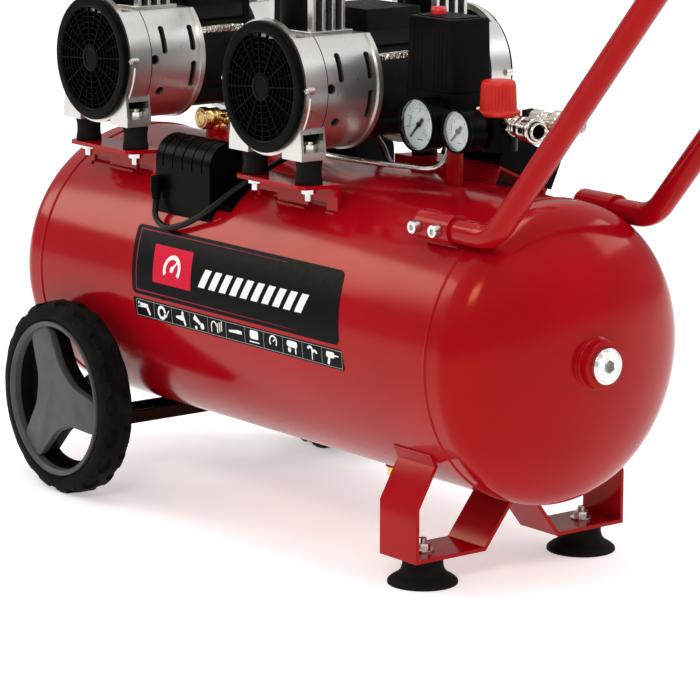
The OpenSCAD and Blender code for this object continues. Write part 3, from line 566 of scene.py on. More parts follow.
PLASTICS = {
    "black_plastic": (0.0012, (0.0026, 0.0025, 0.0025), 0.28),
    "switch_plastic": ((0.0030, 0.0025, 0.0027), (0.0050, 0.0042, 0.0042), 0.36),
    "hub_plastic": ((0.060, 0.057, 0.052), (0.080, 0.076, 0.070), 0.42, 0.2),
    "knob_plastic": ((0.50, 0.014, 0.008), (0.57, 0.022, 0.012), 0.36, 0.22, 0.05),
    "button_plastic": ((0.60, 0.012, 0.018), (0.68, 0.022, 0.026), 0.32, 0.45),
    "hose_black": (0.0025, 0.005, 0.42),
    "lead_black": (0.0025, 0.005, 0.34, 0.15),
}
INKS = {
    "needle_paint": ((0.006, 0.006, 0.007), (0.012, 0.012, 0.014)),
    "label_print": ((0.0012, 0.0012, 0.0018), (0.0024, 0.0024, 0.0034)),
}
FINISHES = {
    "red_enamel": enamel("red_enamel", (0.345, 0.0020, 0.0072), (0.285, 0.0012, 0.0060)),
    "dark_red_enamel": enamel("dark_red_enamel", (0.006, 0.0012, 0.0014),
                              (0.004, 0.0008, 0.0010), 0.08),
    "cast_aluminium": cast_metal(),
    "machined_aluminium": machined_metal(),
    "zinc_steel": zinc(),
    "motor_steel": laminations(),
    "mount_rubber": rubber("mount_rubber", (0.0065, 0.0060, 0.0056), (0.017, 0.016, 0.015), 0.7),
    "tyre_rubber": rubber("tyre_rubber", (0.0030, 0.0027, 0.0028), (0.0090, 0.0085, 0.0082)),
    "nickel_steel": nickel(),
    "brass": brass(),
    "dial_print": dial_face(),
    "lens_clear": clear_lens(),
    **{name: moulded(name, *look) for name, look in PLASTICS.items()},
    **{name: ink(name, *look) for name, look in INKS.items()},
}
SPRAYED_BRASS = sprayed_brass()
GRIP_FOAM = foam()
WHEEL_CORE = moulded("wheel_core", 0.003, (0.006, 0.006, 0.0055), 0.5)
# Near-black satin for the can liners and the cylinder barrels; on the barrels, between the fins, it
# is painted shade.
NEAR_BLACK_SATIN = moulded("near_black_satin", 0.002, 0.004, 0.45)
WHITE_INK = ink("white_ink", 0.74, 0.84)
GREY_INK = ink("grey_ink", (0.30, 0.30, 0.31), (0.40, 0.40, 0.41))
RED_INK = ink("red_ink", (0.52, 0.006, 0.030), (0.62, 0.012, 0.040))
DARK_RED_INK = ink("dark_red_ink", (0.22, 0.012, 0.030), (0.30, 0.020, 0.040))
BLACK_INK = ink("black_ink", (0.010, 0.010, 0.014), (0.022, 0.022, 0.028))
GREEN_INK = ink("green_ink", (0.05, 0.30, 0.16), (0.08, 0.38, 0.20))


# ---- leads, which leave the capacitor boxes and go in under the right pump ----

LEAD_ROUTE = [
    (-138, -126.5, 332), (-138, -126.5, 329), (-138, -126.5, 326), (-137, -128, 317),
    (-133, -131, 308), (-123, -133, 302), (-106, -134, 299), (-86, -131, 304), (-67, -127, 313),
    (-53, -124.5, 321), (-42, -117, 331), (-34, -108, 341), (-24, -96, 352), (-14, -80, 364),
    (0, -64, 377), (12, -48, 388), (22, -34, 398), (28, -22, 408)]
LEAD_R = 3.2


def lay_lead(side, name):
    """One round black lead along the route, on the front (-1) or the rear (+1)."""
    points = [at(x, -side * y, z) for x, y, z in smooth_path(LEAD_ROUTE, 4)]
    curve = bpy.data.curves.new(name, "CURVE")
    curve.dimensions = "3D"
    curve.bevel_depth = LEAD_R * MM
    curve.bevel_resolution = 5
    curve.use_fill_caps = True
    spline = curve.splines.new("POLY")
    spline.points.add(len(points) - 1)
    for target, p in zip(spline.points, points):
        target.co = (*p, 1)
    spline.use_smooth = True
    curve.materials.append(FINISHES["lead_black"])
    lead = bpy.data.objects.new(name, curve)
    scene.collection.objects.link(lead)
    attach(lead, "compressor")
    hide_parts("capacitor_leads")


lay_lead(-1, "front_lead")
lay_lead(1, "rear_lead")


# ---- tank ----

def half_ellipse(radius, depth, inner, base, steps=40):
    """(radius, height) pairs of a dished head over its base, from the rim in to inner."""
    last = math.acos(inner / radius)
    return [(radius * math.cos(last * k / steps), base + depth * math.sin(last * k / steps))
            for k in range(steps + 1)]


def make_tank():
    wall, flange, depth, boss_r, bore_r = 2.5, 17, 59, 23, 15
    drain_x, valve_x, boss_out = 105, -205, 9
    inside = TANK_R - wall
    shell = bmesh.new()
    turned(shell, [(inside, -SEAM_X), (TANK_R, -SEAM_X), (TANK_R, -SEAM_X / 3),
                   (TANK_R, SEAM_X / 3), (TANK_R, SEAM_X), (inside, SEAM_X)],
           axis_at(0, 0, TANK_Z, (1, 0, 0)), 256)
    for x, up in ((valve_x, 1), (drain_x, -1)):
        collar(shell, [(8, -15), (13.5, -12), (12, -7), (12, 0), (8, 0)], 1.2,
               axis_at(x, 0, TANK_Z + up * (TANK_R + boss_out), (0, 0, up)), 48)
    stand_in("tank_shell", shell, 25)

    apex = flange + depth
    boss = rounded([(boss_r + 0.5, apex + 1), (boss_r, apex + 12), (bore_r, apex + 12),
                    (bore_r, apex - 8)], 1.5, closed=False)
    profile = [(inside, 0), (TANK_R, 0), *half_ellipse(TANK_R, depth, boss_r + 3, flange), *boss,
               *half_ellipse(inside, depth - wall, bore_r + 4, flange)[::-1]]
    for side, name in ((-1, "left"), (1, "right")):
        head = bmesh.new()
        turned(head, profile, axis_at(side * SEAM_X, 0, TANK_Z, (side, 0, 0)), 256)
        stand_in(f"tank_head_{name}", head, 25)

    beads = bmesh.new()
    for side in SIDES:
        weld_ring(beads, side * SEAM_X, TANK_R - 0.9, 2.2)
        weld_ring(beads, side * (SEAM_X + apex + 1.5), boss_r + 0.2, 2.0)
    piece("weld_seams", beads, "red_enamel", smooth=60)


def weld_ring(work, x, radius, thick):
    """A bead around the tank's axis, with the ripple that the torch leaves."""
    rows = []
    for a in turns(round(2 * math.pi * radius / 1.3)):
        r = thick * (1 + 0.07 * (len(rows) % 2) + 0.05 * dice.uniform(-1, 1))
        rows.append([polar(radius + r * math.cos(b), a, r * math.sin(b)) for b in turns(12)])
    loft(work, rows, axis_at(x, 0, TANK_Z, (1, 0, 0)), closed=True)


def weld_run(work, path, thick=2.2):
    """A scalloped bead along the path, half sunk in the corner it fills."""
    dense = smooth_path(path, max(2, round((Vector(path[1]) - Vector(path[0])).length / 1.2)))
    swell = [MM * thick * (0.86 + 0.16 * (k % 2) + 0.08 * dice.uniform(-1, 1))
             for k in range(len(dense))]
    tube(work, [at(*p) for p in dense], swell, 8)


def drop_at(y):
    """How far the tank's surface at y stands above or below its axis."""
    return math.sqrt(TANK_R ** 2 - y ** 2)


def make_welds():
    beads = bmesh.new()
    edge_y = 92.5
    for x in PUMPS.values():
        for side in SIDES:
            for low, high in ((-65, -62), (-29, 17), (51, 65)):
                weld_run(beads, [(x + dx, side * edge_y, TANK_Z + drop_at(edge_y) + 0.3)
                                 for dx in (low, (low + high) / 2, high)])
    strap, sleeve = (246, 272, 298), (272, 294, 317)
    for side in SIDES:
        for xs, y, z, thick in ((strap, 114, 1.5 - drop_at(112), 2.2),
                                (strap, 11, -TANK_R - 0.6, 2.2),
                                (sleeve, 87, drop_at(87) - 1, 2.2),
                                (sleeve, 98, drop_at(98) - 0.3, 2.0)):
            weld_run(beads, [(x, side * y, TANK_Z + z) for x in xs], thick)
    piece("weld_runs", beads, "red_enamel", smooth=60)


def lay_print(name, outlines, lift, paint=None, depth=0.0, replaces=()):
    """Flat outlines in (x, s), cut into narrow bands and wrapped on the tank's front. s runs up
    around it from the height of its axis."""
    work = bmesh.new()
    for outline in outlines:
        face = work.faces.new(ring(work, [(x, s, 0) for x, s in outline]))
        face.normal_update()
    bmesh.ops.triangulate(work, faces=work.faces)
    band = 3.0
    heights = [v.co.y / band for v in work.verts]
    for k in range(math.ceil(min(heights)), math.floor(max(heights)) + 1):
        bmesh.ops.bisect_plane(work, geom=work.verts[:] + work.edges[:] + work.faces[:],
                               plane_co=(0, k * band, 0), plane_no=(0, 1, 0))
    if depth:
        for v in bmesh.ops.extrude_face_region(work, geom=work.faces[:])["geom"]:
            if isinstance(v, bmesh.types.BMVert):
                v.co.z = depth
    for v in work.verts:
        turn, r = v.co.y / TANK_R, TANK_R + lift + v.co.z
        v.co = at(v.co.x, -r * math.cos(turn), TANK_Z + r * math.sin(turn))
    piece(name, work, "label_print", replaces=replaces, smooth=40, paint=paint)


def slant(s):
    """The label's ends lean a little as they go down."""
    return (73 - s) * 0.185


def leaning(x0, s0, x1, s1):
    return [(x + slant(s), s) for x, s in rectangle(x0, s0, x1, s1)]


def line(x0, s0, x1, s1, w0, w1):
    """A thin stripe whose width runs from w0 to w1."""
    out = Vector((s0 - s1, x1 - x0)).normalized() / 2
    return [(x + out.x * w, s + out.y * w)
            for x, s, w in ((x0, s0, w0), (x1, s1, w1), (x1, s1, -w1), (x0, s0, -w0))]


def make_label():
    """A film with a printed panel and a strip of pictograms, laid on the tank's front."""
    film = 0.35
    face = film + 0.12
    lay_print("label_film", [rounded(leaning(-165, 2, 185, 74), 7, 5),
                             rounded(leaning(-165, -22, 188, -2), 3, 3)],
              0.05, depth=film, replaces=("label",))
    top, foot = -157 + slant(69), -157 + slant(7)
    lay_print("label_outline", [line(top, 69.5, 95, 69.5, 1.5, 0.3),
                                line(top, 70, foot, 6, 1.5, 1.5),
                                line(foot, 6.3, 130, 6.3, 1.5, 0.3)], face, DARK_RED_INK)
    lay_print("label_badge", [leaning(-127, 18, -60, 57)], face, RED_INK)

    hub_x, hub_s = -93.5 + slant(37), 34.5
    mark = [arc(hub_x, hub_s, 15, 10.5, -30, 210),
            line(hub_x, hub_s, hub_x + 8, hub_s + 9, 4.2, 1.4), circle(3.2, 16, hub_x, hub_s)]
    stripes = [[(x + k, s) for k, s in ((0, 24), (11, 24), (19, 43), (8, 43))]
               for x in range(-38, 140, 18)]
    lay_print("label_mark", mark + stripes, face + 0.03, WHITE_INK)

    wide, low, high, hair = 31.6, -20.5, -3.5, 0.5
    edges = [-161 + slant(-12) + k * wide for k in range(12)]
    grid = []
    for x in edges:
        grid.append(line(x, low, x, high, hair, hair))
        if x < edges[-1]:
            grid += [line(x, s, x + wide, s, hair, hair) for s in (high, low)]
    lay_print("label_grid", grid, face, GREY_INK)

    icons = [
        [line(-9, 3, 5, 3, 5, 4), line(3, 3, 8, -6, 4, 3), circle(1.4, 10, -11.5, 5),
         circle(1.0, 10, -11.5, 1)],
        [arc(-2, 0, 7.5, 4.3, 0, 350), line(5, -4, 11, 4, 1.2, 1.2)],
        [line(-8, 0, 4, 0, 2, 6), line(4, 3, 8, -7, 3.5, 3), line(3, 1, 4, 7, 4, 3)],
        [line(-8, 5, 3, -1, 6, 3), circle(3.4, 14, 6, -3), circle(2.0, 12, -5, -6)],
        [arc(-5, 1, 5, 3.6, 0, 180), line(-9.3, 1, -9.3, -6, 1.4, 1.4)]
        + [line(x, 4 + x * 0.4, x, -6 + x * 0.4, 1.6, 1.6) for x in (1, 4.5, 8)],
        [line(-11, 0, 2, 1, 2, 3.4), line(2, 1, 11, 1, 4, 3)],
        [rounded(rectangle(-7, -2, 7, 7), 2.5, 3), line(-8, -5, 8, -5, 1.2, 1.2)],
        [arc(0, 1, 6.5, 4.7, -40, 220), line(0, 1, 3.5, 4, 1.8, 0.8)],
        [rounded(rectangle(-9, 0, 8, 6.5), 3, 3), circle(2.6, 12, -5, -3), line(5, 0, 5, -6, 2, 2)],
        [arc(-3, 2, 5, 2.4, 20, 160), arc(4, -1, 5, 2.4, 20, 160), line(0, 3, 0, -7, 1.4, 1.4)],
        [rounded(rectangle(-9, 0, 4, 6), 2, 3), line(-4, 0, -6, -7, 3.4, 3.4),
         line(4, 3, 11, 3, 1.8, 1)],
    ]
    drawn = [[(x + left + wide / 2, s + (low + high) / 2) for x, s in shape]
             for left, icon in zip(edges, icons) for shape in icon]
    lay_print("label_pictograms", drawn, face + 0.03, WHITE_INK)


make_tank()
make_welds()
make_label()


# ---- wheels, feet and handle ----

def tread_cut(a, y, row_y):
    """How far the tread is cut in at angle a and width y: two staggered rows of oval pockets."""
    pockets, r, long, wide, deep = 18, 103, 10.6, 6.2, 3.4
    step = 2 * math.pi / pockets
    cut = 0.0
    for row in SIDES:
        phase = (a / step + (0.25 if row > 0 else 0.75)) % 1 - 0.5
        u, v = phase * step * r / long, (y - row * row_y) / wide
        span = (abs(u) ** 2.6 + abs(v) ** 2.6) ** (1 / 2.6)
        cut = max(cut, deep * min(1, max(0, (1.06 - span) / 0.12)))
    return cut


def make_wheel(side, name):
    """Hub with three spokes and a tyre with a pocketed tread; local Z points outwards."""
    track, half, seat, crown, tyre_r = 172, 18, 82.5, 7.2, 103
    where = facing(WHEEL_X, side * track, WHEEL_Z, side)
    flank = [(seat, -half + 2), (84.5, -half + 0.5), (88, -half), (93, -half + 0.4),
             (97.5, -half + 1.8), (100.6, -half + 3.6), (102.4, -half + 5.8)]
    tread = [(tyre_r, -half + crown + k * 2 * (half - crown) / 34) for k in range(35)]
    rows = []
    for r, h in flank + tread + [(r, -h) for r, h in flank[::-1]] + [(seat, 0)]:
        row = []
        for a in turns(528):
            cut = tread_cut(a, h, half / 2) if r > 100 else 0
            if 97 < r < 102.5:
                cut += 0.25 * max(0, math.cos(22 * a))
            row.append(polar(r - cut, a, h))
        rows.append(row)
    tyre = bmesh.new()
    loft(tyre, rows, where, closed=True)
    stand_in(f"tyre_{name}", tyre, 40)

    hub, core = bmesh.new(), bmesh.new()
    collar(hub, [(76.5, 9), (82.5, 9), (82.5, 19.5), (80.5, 20), (76.5, 17)], 1.2, where, 160)
    collar(core, [(76.8, -15), (82.4, -16), (82.4, 9.2), (76.8, 9.2)], 0.8, where, 128)
    collar(core, [(70, -8), (77.2, -8), (77.2, -4), (70, -5)], 0.8, where, 128)
    collar(core, [(6.1, -20), (15, -20), (16, -6), (6.1, -6)], 1, where, 48)
    outline = []
    for k in range(3):
        turn = Matrix.Rotation(math.radians(120 * k - 8), 2)
        outline += [turn @ Vector(p) for p in ((30, -22), (77.5, -17), (77.5, 17), (30, 22))]
    soft = rounded(outline, 9, 5)
    for work, levels in ((core, ((4, -8), (1.5, -6.5), (1.5, 8))),
                         (hub, ((0.6, 7.5), (0, 8), (0, 14.2), (0.5, 15.4), (1.6, 16)))):
        loft(work, [[(x * (1 - inset / 60), y * (1 - inset / 60), z) for x, y in soft]
                    for inset, z in levels], where)
    stand_in(f"wheel_hub_{name}", hub, 38)
    piece(f"wheel_core_{name}", core, "hub_plastic", f"{name}_wheel", (f"wheel_hub_{name}",),
          smooth=38, paint=WHEEL_CORE)


def make_feet():
    dress(foot_straps=1.0, foot_bolts=0.5)
    foot_x, foot_y = 272, 102
    feet, threads = bmesh.new(), bmesh.new()
    profile = [(0, 5.5), (14, 5), *rounded(
        [(24, 3.2), (30, 0.6), (34.5, 0), (34.4, 3.4), (30.5, 6.6), (25, 9.6), (21.6, 13.5),
         (20, 19), (20, 24), (20, 28), (12, 28)], 1.4, 3), (0, 28)]
    thread = [(4.0 - 0.5 * (k % 2), 39.7 + 0.62 * k) for k in range(9)]
    for side in SIDES:
        where = axis_at(foot_x, side * foot_y, 0)
        turned(feet, profile, where, 96)
        turned(threads, [(0, 39.6), *thread, (2.8, 45.2), (0, 45.4)], where, 32)
    stand_in("rubber_feet", feet)
    piece("foot_bolt_ends", threads, "zinc_steel", smooth=30)


def make_handle():
    radius, half, start_x = 12, 100, 273
    bend_x, bend_z, top_z = 370, 350, 638
    top_x = bend_x + (top_z - bend_z) / math.tan(math.radians(49))
    arm = [(start_x, half, bend_z), (bend_x, half, bend_z), (top_x, half, top_z)]
    work = bmesh.new()
    path = bent_path([(x, -y, z) for x, y, z in arm] + arm[::-1], (44, 46, 46, 44))
    tube(work, [at(*p) for p in path], radius * MM, 40)
    stand_in("handle_tube", work, 40)
    grip = bmesh.new()
    ribs = [(16 - 0.55 * (k % 2), k * 2.1) for k in range(-23, 24)]
    turned(grip, [(12.05, -52), (14.2, -52), (16, -50.4), *ribs, (16, 50.4), (14.2, 52),
                  (12.05, 52)], axis_at(top_x, 0, top_z, (0, 1, 0)))
    stand_in("handle_grip", grip, 50, paint=GRIP_FOAM)
    dressed("handle_sleeves", 0.7)
    screws = bmesh.new()
    for side in SIDES:
        for x in (277, 307):
            knob(screws, [(2.6, 19.2), (2.6, 23.2), (6, 23.2), (6, 15.2), (3, 15.2), (3, 12)],
                 0.6, axis_at(x, side * half, bend_z, (0, side, 0)), 48)
    stand_in("handle_screws", screws, 30)


make_wheel(-1, "front")
make_wheel(1, "rear")
dress(wheel_bracket=0.8, axle_bolts=0.5)
make_feet()
make_handle()


# ---- pumps ----

def make_guard(guard, where):
    """Fan guard: flat rim on a spigot, a hub disc, rings, and ribs that double towards the rim."""
    collar(guard, [(53, 8.5), (53, 11), (55, 12), (63.5, 12), (65, 10.5), (65, 6), (60.8, 6),
                   (60.8, 1), (57.5, 1), (57.5, 7.5)], 0.8, where, 144, 3)
    knob(guard, [(14, 8.2), (15, 9.5), (14.2, 11.6), (10, 11.9), (9, 11.2)], 0.6, where)
    for r in (19.5, 25.5, 31.5, 37.5, 43.5, 49):
        collar(guard, [(r - 0.7, 8.4), (r + 0.7, 8.4), (r + 0.5, 10.9), (r - 0.5, 10.9)], 0.3,
               where, 96, 2)
    for k in range(24):
        start, thick = (30.8, 0.7) if k % 2 else (13.5, 1.1)
        section = [(-thick, 8.3), (thick, 8.3), (thick * 0.6, 11.6), (-thick * 0.6, 11.6)]
        loft(guard, [[(x, y, z) for y, z in section] for x in (start, 53.6)],
             spun(where, math.radians(15 * k + 4)))


def make_fan(fan, where):
    """Nine twisted blades on a plain round hub."""
    knob(fan, [(17, -6), (17, 5), (14, 6.2), (7, 6.2)], 1.2, where, 48)
    section = ((-0.5, 0), (-0.25, 0.9), (0.1, 1.0), (0.5, 0), (0.1, -0.4), (-0.25, -0.5))
    reach, count = 6.8, 9
    rows = []
    for j in range(count):
        pitch = math.radians(52 - 24 * j / 8)
        chord = 15 + 7 * math.sin(math.pi * j / 9)
        c, s = math.cos(pitch), math.sin(pitch)
        rows.append([(15 + 29.5 * j / 8, t * chord * c - lift * s,
                      max(-reach, min(reach, t * chord * s * 0.62 + lift * c)))
                     for t, lift in section])
    for a in turns(count):
        loft(fan, rows, spun(where, a))


def can_ridges(work, x):
    """Raised details that a casting carries: a rib under each screw boss and a rolled lip."""
    where = axis_at(x, 0, SHAFT_Z)
    lip_r, screw_x = 68.2, 68
    for side in SIDES:
        for flank in SIDES:
            bend = [polar(lip_r, math.radians(a)) for a in range(-4, -36, -3)]
            tube(work, [where @ Vector((flank * u, side * 125.5, v)) for u, v in bend], MM, 8)
            knob(work, [(1.2, 0.4), (1.2, 1.6), (2.6, 1.6), (2.9, -1)], 0.3,
                 axis_at(x + flank * screw_x, side * 130, SHAFT_Z + 2, (0, side, 0)), 24)


def braid(work, route, radius, strands=14, wire=0.42, pitch=15.0):
    """Woven steel sleeve: crossing helices that pass over and under each other."""
    path = [at(*p) for p in smooth_path(route, 14)]
    lengths = [0.0]
    for a, b in zip(path, path[1:]):
        lengths.append(lengths[-1] + (b - a).length / MM)
    frames = swept(path)
    for way in SIDES:
        for share in range(strands):
            strand = []
            for (p, u, v), run in zip(frames, lengths):
                a = 2 * math.pi * (share / strands + way * run / pitch)
                r = radius + 0.35 * way * math.sin(strands * 2 * math.pi * run / pitch)
                strand.append(p + MM * r * (math.cos(a) * u + math.sin(a) * v))
            tube(work, strand, wire * MM, 5)
    tube(work, path, (radius - 0.7) * MM, 12)


def can_band(work, x, side, low, high, outer, inner, top):
    """A ring around the shaft, open above the height top."""
    gap = math.acos(top / outer)
    bend = [math.pi / 2 + gap + (2 * math.pi - 2 * gap) * k / 90 for k in range(91)]
    rows = [[at(x + r * math.cos(a), side * y, SHAFT_Z + r * math.sin(a)) for a in bend]
            for r, y in ((outer, low), (outer, high), (inner, high), (inner, low))]
    rings = loft(work, rows, around=False, closed=True)
    for end in (0, -1):
        work.faces.new([row[end] for row in rings])


def bored_plate(work, half_x, half_y, low, high, where, bore_r=23.6):
    """A rectangular plate with the cylinder's bore through it."""
    corner = math.atan2(half_y, half_x)
    angles = sorted(turns(72) + [corner, math.pi - corner, math.pi + corner,
                                 2 * math.pi - corner])
    tiny = 1e-6
    rim = [min(half_x / max(abs(math.cos(a)), tiny), half_y / max(abs(math.sin(a)), tiny))
           for a in angles]
    bore = [bore_r] * len(angles)
    loft(work, [[polar(r, a, z) for r, a in zip(radii, angles)] for radii, z in (
        (rim, low), (rim, high), (bore, high), (bore, low))], where, closed=True)


def make_cylinder(bright, dark, where):
    """Bright foot plate and side fins on a near-black barrel and flange; the near-black that shows
    between the fins is painted shade.
    """
    bore_r, barrel_r, foot, top = 23.6, 27, 4, 39
    bored_plate(bright, 40, 26, 0, foot, where)
    turned(dark, [(bore_r, foot), (barrel_r, foot), (barrel_r, top), (bore_r, top)], where)
    bored_plate(dark, 36, 28, top, 44, where)
    for y in (-18, -6, 6, 18):
        root = math.sqrt(25 ** 2 - (abs(y) - 2) ** 2)
        for flank in SIDES:
            for work, near, far, half in ((bright, barrel_r, 36, 2), (dark, root, barrel_r, 1.9)):
                low, high = sorted((flank * near, flank * far))
                block(work, (low, y - half, foot), (high, y + half, top), where)


def make_silencer(cans, x, y):
    where = axis_at(x, y, 556)
    knob(cans, [(14, -8), (14, 16), (14, 22), (11.4, 22), (11, 26)], 1.6, where)
    for a in turns(20):
        block(cans, (13.2, -0.9, -4), (14.0, 0.9, 14), spun(where, a))
    collar(cans, [(0.2, 0), (4.5, 0), (4.5, 20), (0.2, 20)], 0.6, axis_at(x, y, 564, (1, 0, 0)),
           32)


def make_pumps():
    guard_y, fan_y, bore_y, deck_z, inlet_x = 124, 115, 78, 512, -54
    mount_x, mount_y, mount_z, link_x, link_z = 44, 109, 368, 52, 487
    ends = [(x, side) for x in PUMPS.values() for side in SIDES]
    liners, ribs, guards, bright, dark, cans, blocks, threads, sleeves = (
        bmesh.new() for _ in range(9))
    dressed("crankcases", 0.7, 30)
    for x, side in ends:
        can_band(liners, x, side, 44.5, 123, 63.4, 62.8, 46.5)
        can_band(liners, x, side, 103.4, 104.1, 68.2, 66.5, 51.2)
    piece("can_liners", liners, "motor_steel", smooth=30, paint=NEAR_BLACK_SATIN)
    dress(stators=0.8, bearings=0.4)
    for x in PUMPS.values():
        can_ridges(ribs, x)
    piece("casting_ribs", ribs, "cast_aluminium", smooth=35)
    for x, side in ends:
        make_guard(guards, facing(x, side * guard_y, SHAFT_Z, side))
    stand_in("fan_guards", guards)
    for letter, x in PUMPS.items():
        fans = bmesh.new()
        for side in SIDES:
            make_fan(fans, facing(x, side * fan_y, SHAFT_Z, side))
        stand_in(f"pump_{letter}_fans", fans, 40)
        dress(**{f"pump_{letter}_rotor": 0.5, f"pump_{letter}_pistons": 0.5})
    for x, side in ends:
        make_cylinder(bright, dark, axis_at(x, side * bore_y, deck_z))
    stand_in("finned_cylinders", bright, 30, bevel=0.5)
    # Near-black barrels and top flanges: the dark between the bright fins is painted shade.
    piece("cylinder_barrels", dark, "cast_aluminium", replaces=("finned_cylinders",), bevel=0.4,
          smooth=30, paint=NEAR_BLACK_SATIN)
    dress(cylinder_heads=0.5, head_link_tubes=0.4)
    for x, side in ends:
        make_silencer(cans, x + inlet_x, side * bore_y)
    stand_in("intake_silencers", cans)
    dress(pump_brackets=0.7, mount_bolts=0.45)
    thread = [(4.0 - 0.45 * (k % 2), -16.8 + 0.6 * k) for k in range(12)]
    for x in PUMPS.values():
        for dx in (-mount_x, mount_x):
            for side in SIDES:
                where = axis_at(x + dx, side * mount_y, mount_z)
                collar(blocks, [(4, 0), (13.5, 0), (13.5, 3.4), (12.6, 8), (12.4, 12.5),
                                (12.6, 17), (13.5, 21.6), (13.5, 25), (4, 25)], 0.9, where, 64, 3)
                turned(threads, [(0, -16.9), *thread, (0, -10.2)], where, 24)
    stand_in("rubber_mounts", blocks)
    piece("mount_stud_threads", threads, "zinc_steel", smooth=30)
    for x in PUMPS.values():
        x += link_x
        braid(sleeves, [(x, -30, link_z), (x + 1, -10, link_z + 1), (x + 1, 10, link_z + 1),
                        (x, 30, link_z)], 3.6)
        for side in SIDES:
            collar(sleeves, [(0.5, -5), (5.2, -5), (5.2, 5), (0.5, 5)], 0.8,
                   axis_at(x, side * 32, link_z, (0, side, 0)), 32)
    piece("braided_links", sleeves, "nickel_steel", smooth=45)


make_pumps()


# ---- check valve and pipes ----

LINK_Z = 565.5
VALVE_X, VALVE_Z = -205, 392
HOSES = (
    [(-190, 14, LINK_Z), (-187, 14, LINK_Z), (-184, 14, LINK_Z), (-177, 14, 561),
     (-173, 14, 550), (-172, 14, 525), (-172, 15, 500), (-172, 18, 465), (-174, 25, 440),
     (-180, 34, 419), (-190, 40, 403), (-199, 38, 395), (-204, 28, 392), (-205, 19, 392),
     (-205, 15, 392), (-205, 11, 392)],
    [(86, -14, LINK_Z), (82, -14, LINK_Z), (78, -14, LINK_Z), (40, -13, 556), (-10, -12, 549),
     (-55, -12, 547), (-100, -12, 549), (-146, -13, 556), (-182, -14, LINK_Z),
     (-186, -14, LINK_Z), (-190, -14, LINK_Z)])
UNLOADER = [
    (189, -6, 417), (189, -6, 411), (189, -7, 399), (186, -13, 388), (176, -20, 384),
    (150, -25, 383.5), (110, -34, 383), (60, -40, 383), (0, -42, 383), (-60, -40, 382),
    (-120, -32, 380), (-155, -18, 380), (-172, -6, 386), (-179, -2, 391), (-184, -2, 392),
    (-189, -2, 392)]


def make_lines():
    hoses, rings, line_in, nuts = (bmesh.new() for _ in range(4))
    for route in HOSES:
        path = pipe(hoses, route, 3.95, 5)
        for end, inward in ((path[0], path[4]), (path[-1], path[-5])):
            collar(rings, [(4.0, 0.3), (5.6, 0.3), (5.6, 7), (4.0, 7)], 0.8,
                   axis_at((end.x - TANK_X) / MM, end.y / MM, end.z / MM, inward - end), 32)
    stand_in("discharge_hoses", hoses, 50)
    piece("hose_ferrules", rings, "nickel_steel", smooth=35)
    pipe(line_in, UNLOADER, 2.8, 6)
    stand_in("unloader_pipe", line_in, 50)
    for end, toward in ((UNLOADER[0], (0, 0, -1)), (UNLOADER[-1], (1, 0, 0))):
        hex_nut(nuts, 10, 0.2, 7, axis_at(*end, toward))
    piece("pipe_nuts", nuts, "brass", smooth=30)


def make_check_valve():
    valve = bmesh.new()
    body = facing(VALVE_X, -22, VALVE_Z, -1) @ Matrix.Rotation(math.pi, 4, "X")
    hex_nut(valve, 21.9, 0.6, 9.8, body, 12)
    collar(valve, [(5.2, 4), (5.2, 0), (8.6, 0), (9.4, 1.2), (9.4, 4)], 0.5, body, 48)
    knurled(valve, 10.5, 9.8, 15.5, 0.45, 44, body)
    knob(valve, [(9.6, 15), (10.4, 16.4), (10.4, 22), (7.6, 23.4), (7.4, 33), (6, 33)], 0.6, body)
    knob(valve, [(8, -4), (8, 8), (9.6, 9), (9.6, 12), (8.4, 13.4), (8.4, 18)], 0.7,
         axis_at(VALVE_X, 0, TANK_Z + TANK_R), 48)
    knob(valve, [(4.5, 7), (4.5, 16), (3, 16)], 0.6, axis_at(VALVE_X, -2, VALVE_Z, (1, 0, 0)),
         32)
    stand_in("check_valve", valve, 32, paint=SPRAYED_BRASS)
    dress(drain_valve=0.5, drain_screw=0.5, end_plugs=0.7)


# ---- boxes and switch ----

def make_boxes():
    dressed("capacitor_boxes", 1.2)
    gland_x, gland_y, gland_z = -138, 126.5, 332.2
    glands = bmesh.new()
    for side in SIDES:
        where = axis_at(gland_x, side * gland_y, gland_z)
        hex_nut(glands, 10.5, 0.2, 5, where)
        collar(glands, [(3.3, -8), (4.2, -8), (5.2, 0.5), (3.3, 0.5)], 0.4, where, 32)
    piece("gland_nuts", glands, "black_plastic", smooth=30)
    dress(junction_box=1.6, junction_bracket=0.6, switch_base=1.6, manifold=0.7,
          manifold_post=0.5)


def make_switch():
    """Tapered hood with rounded edges and two groups of upright flutes on its broad faces."""
    wide, deep, low, high, taper = 71, 50, 461, 533, 0.955
    hood_x, button_x = 182, 166
    where = axis_at(hood_x, 0, 0)
    rows = []
    for z, grow in ((low, -0.9), (low + 1.0, -0.9), (low + 1.4, 0), (low + 3, 0),
                    (high - 14, 0), (high - 12.4, 0), (high - 2.4, 0), (high - 0.7, -0.7),
                    (high, -2.4)):
        size = 1 + (taper - 1) * (z - low) / (high - low)
        flute = 0.9 if low + 2 < z < high - 12.5 else 0.0
        rows.append([(x, y, z) for x, y in hood_outline(
            wide / 2 * size + grow, deep / 2 * size + grow, flute)])
    hood, button = bmesh.new(), bmesh.new()
    loft(hood, rows, where)
    extruded(hood, rounded(rectangle(-29, -19, 29, 19), 6, 6), high - 0.5, high + 0.9, where)
    stand_in("switch_cover", hood, 28)
    knob(button, [(5, 460), (5, 527), (8, 527), (8, 538), (6.4, 540.8)], 1.2,
         axis_at(button_x, 0, 0), 64, 5, 0.2)
    stand_in("switch_button", button)


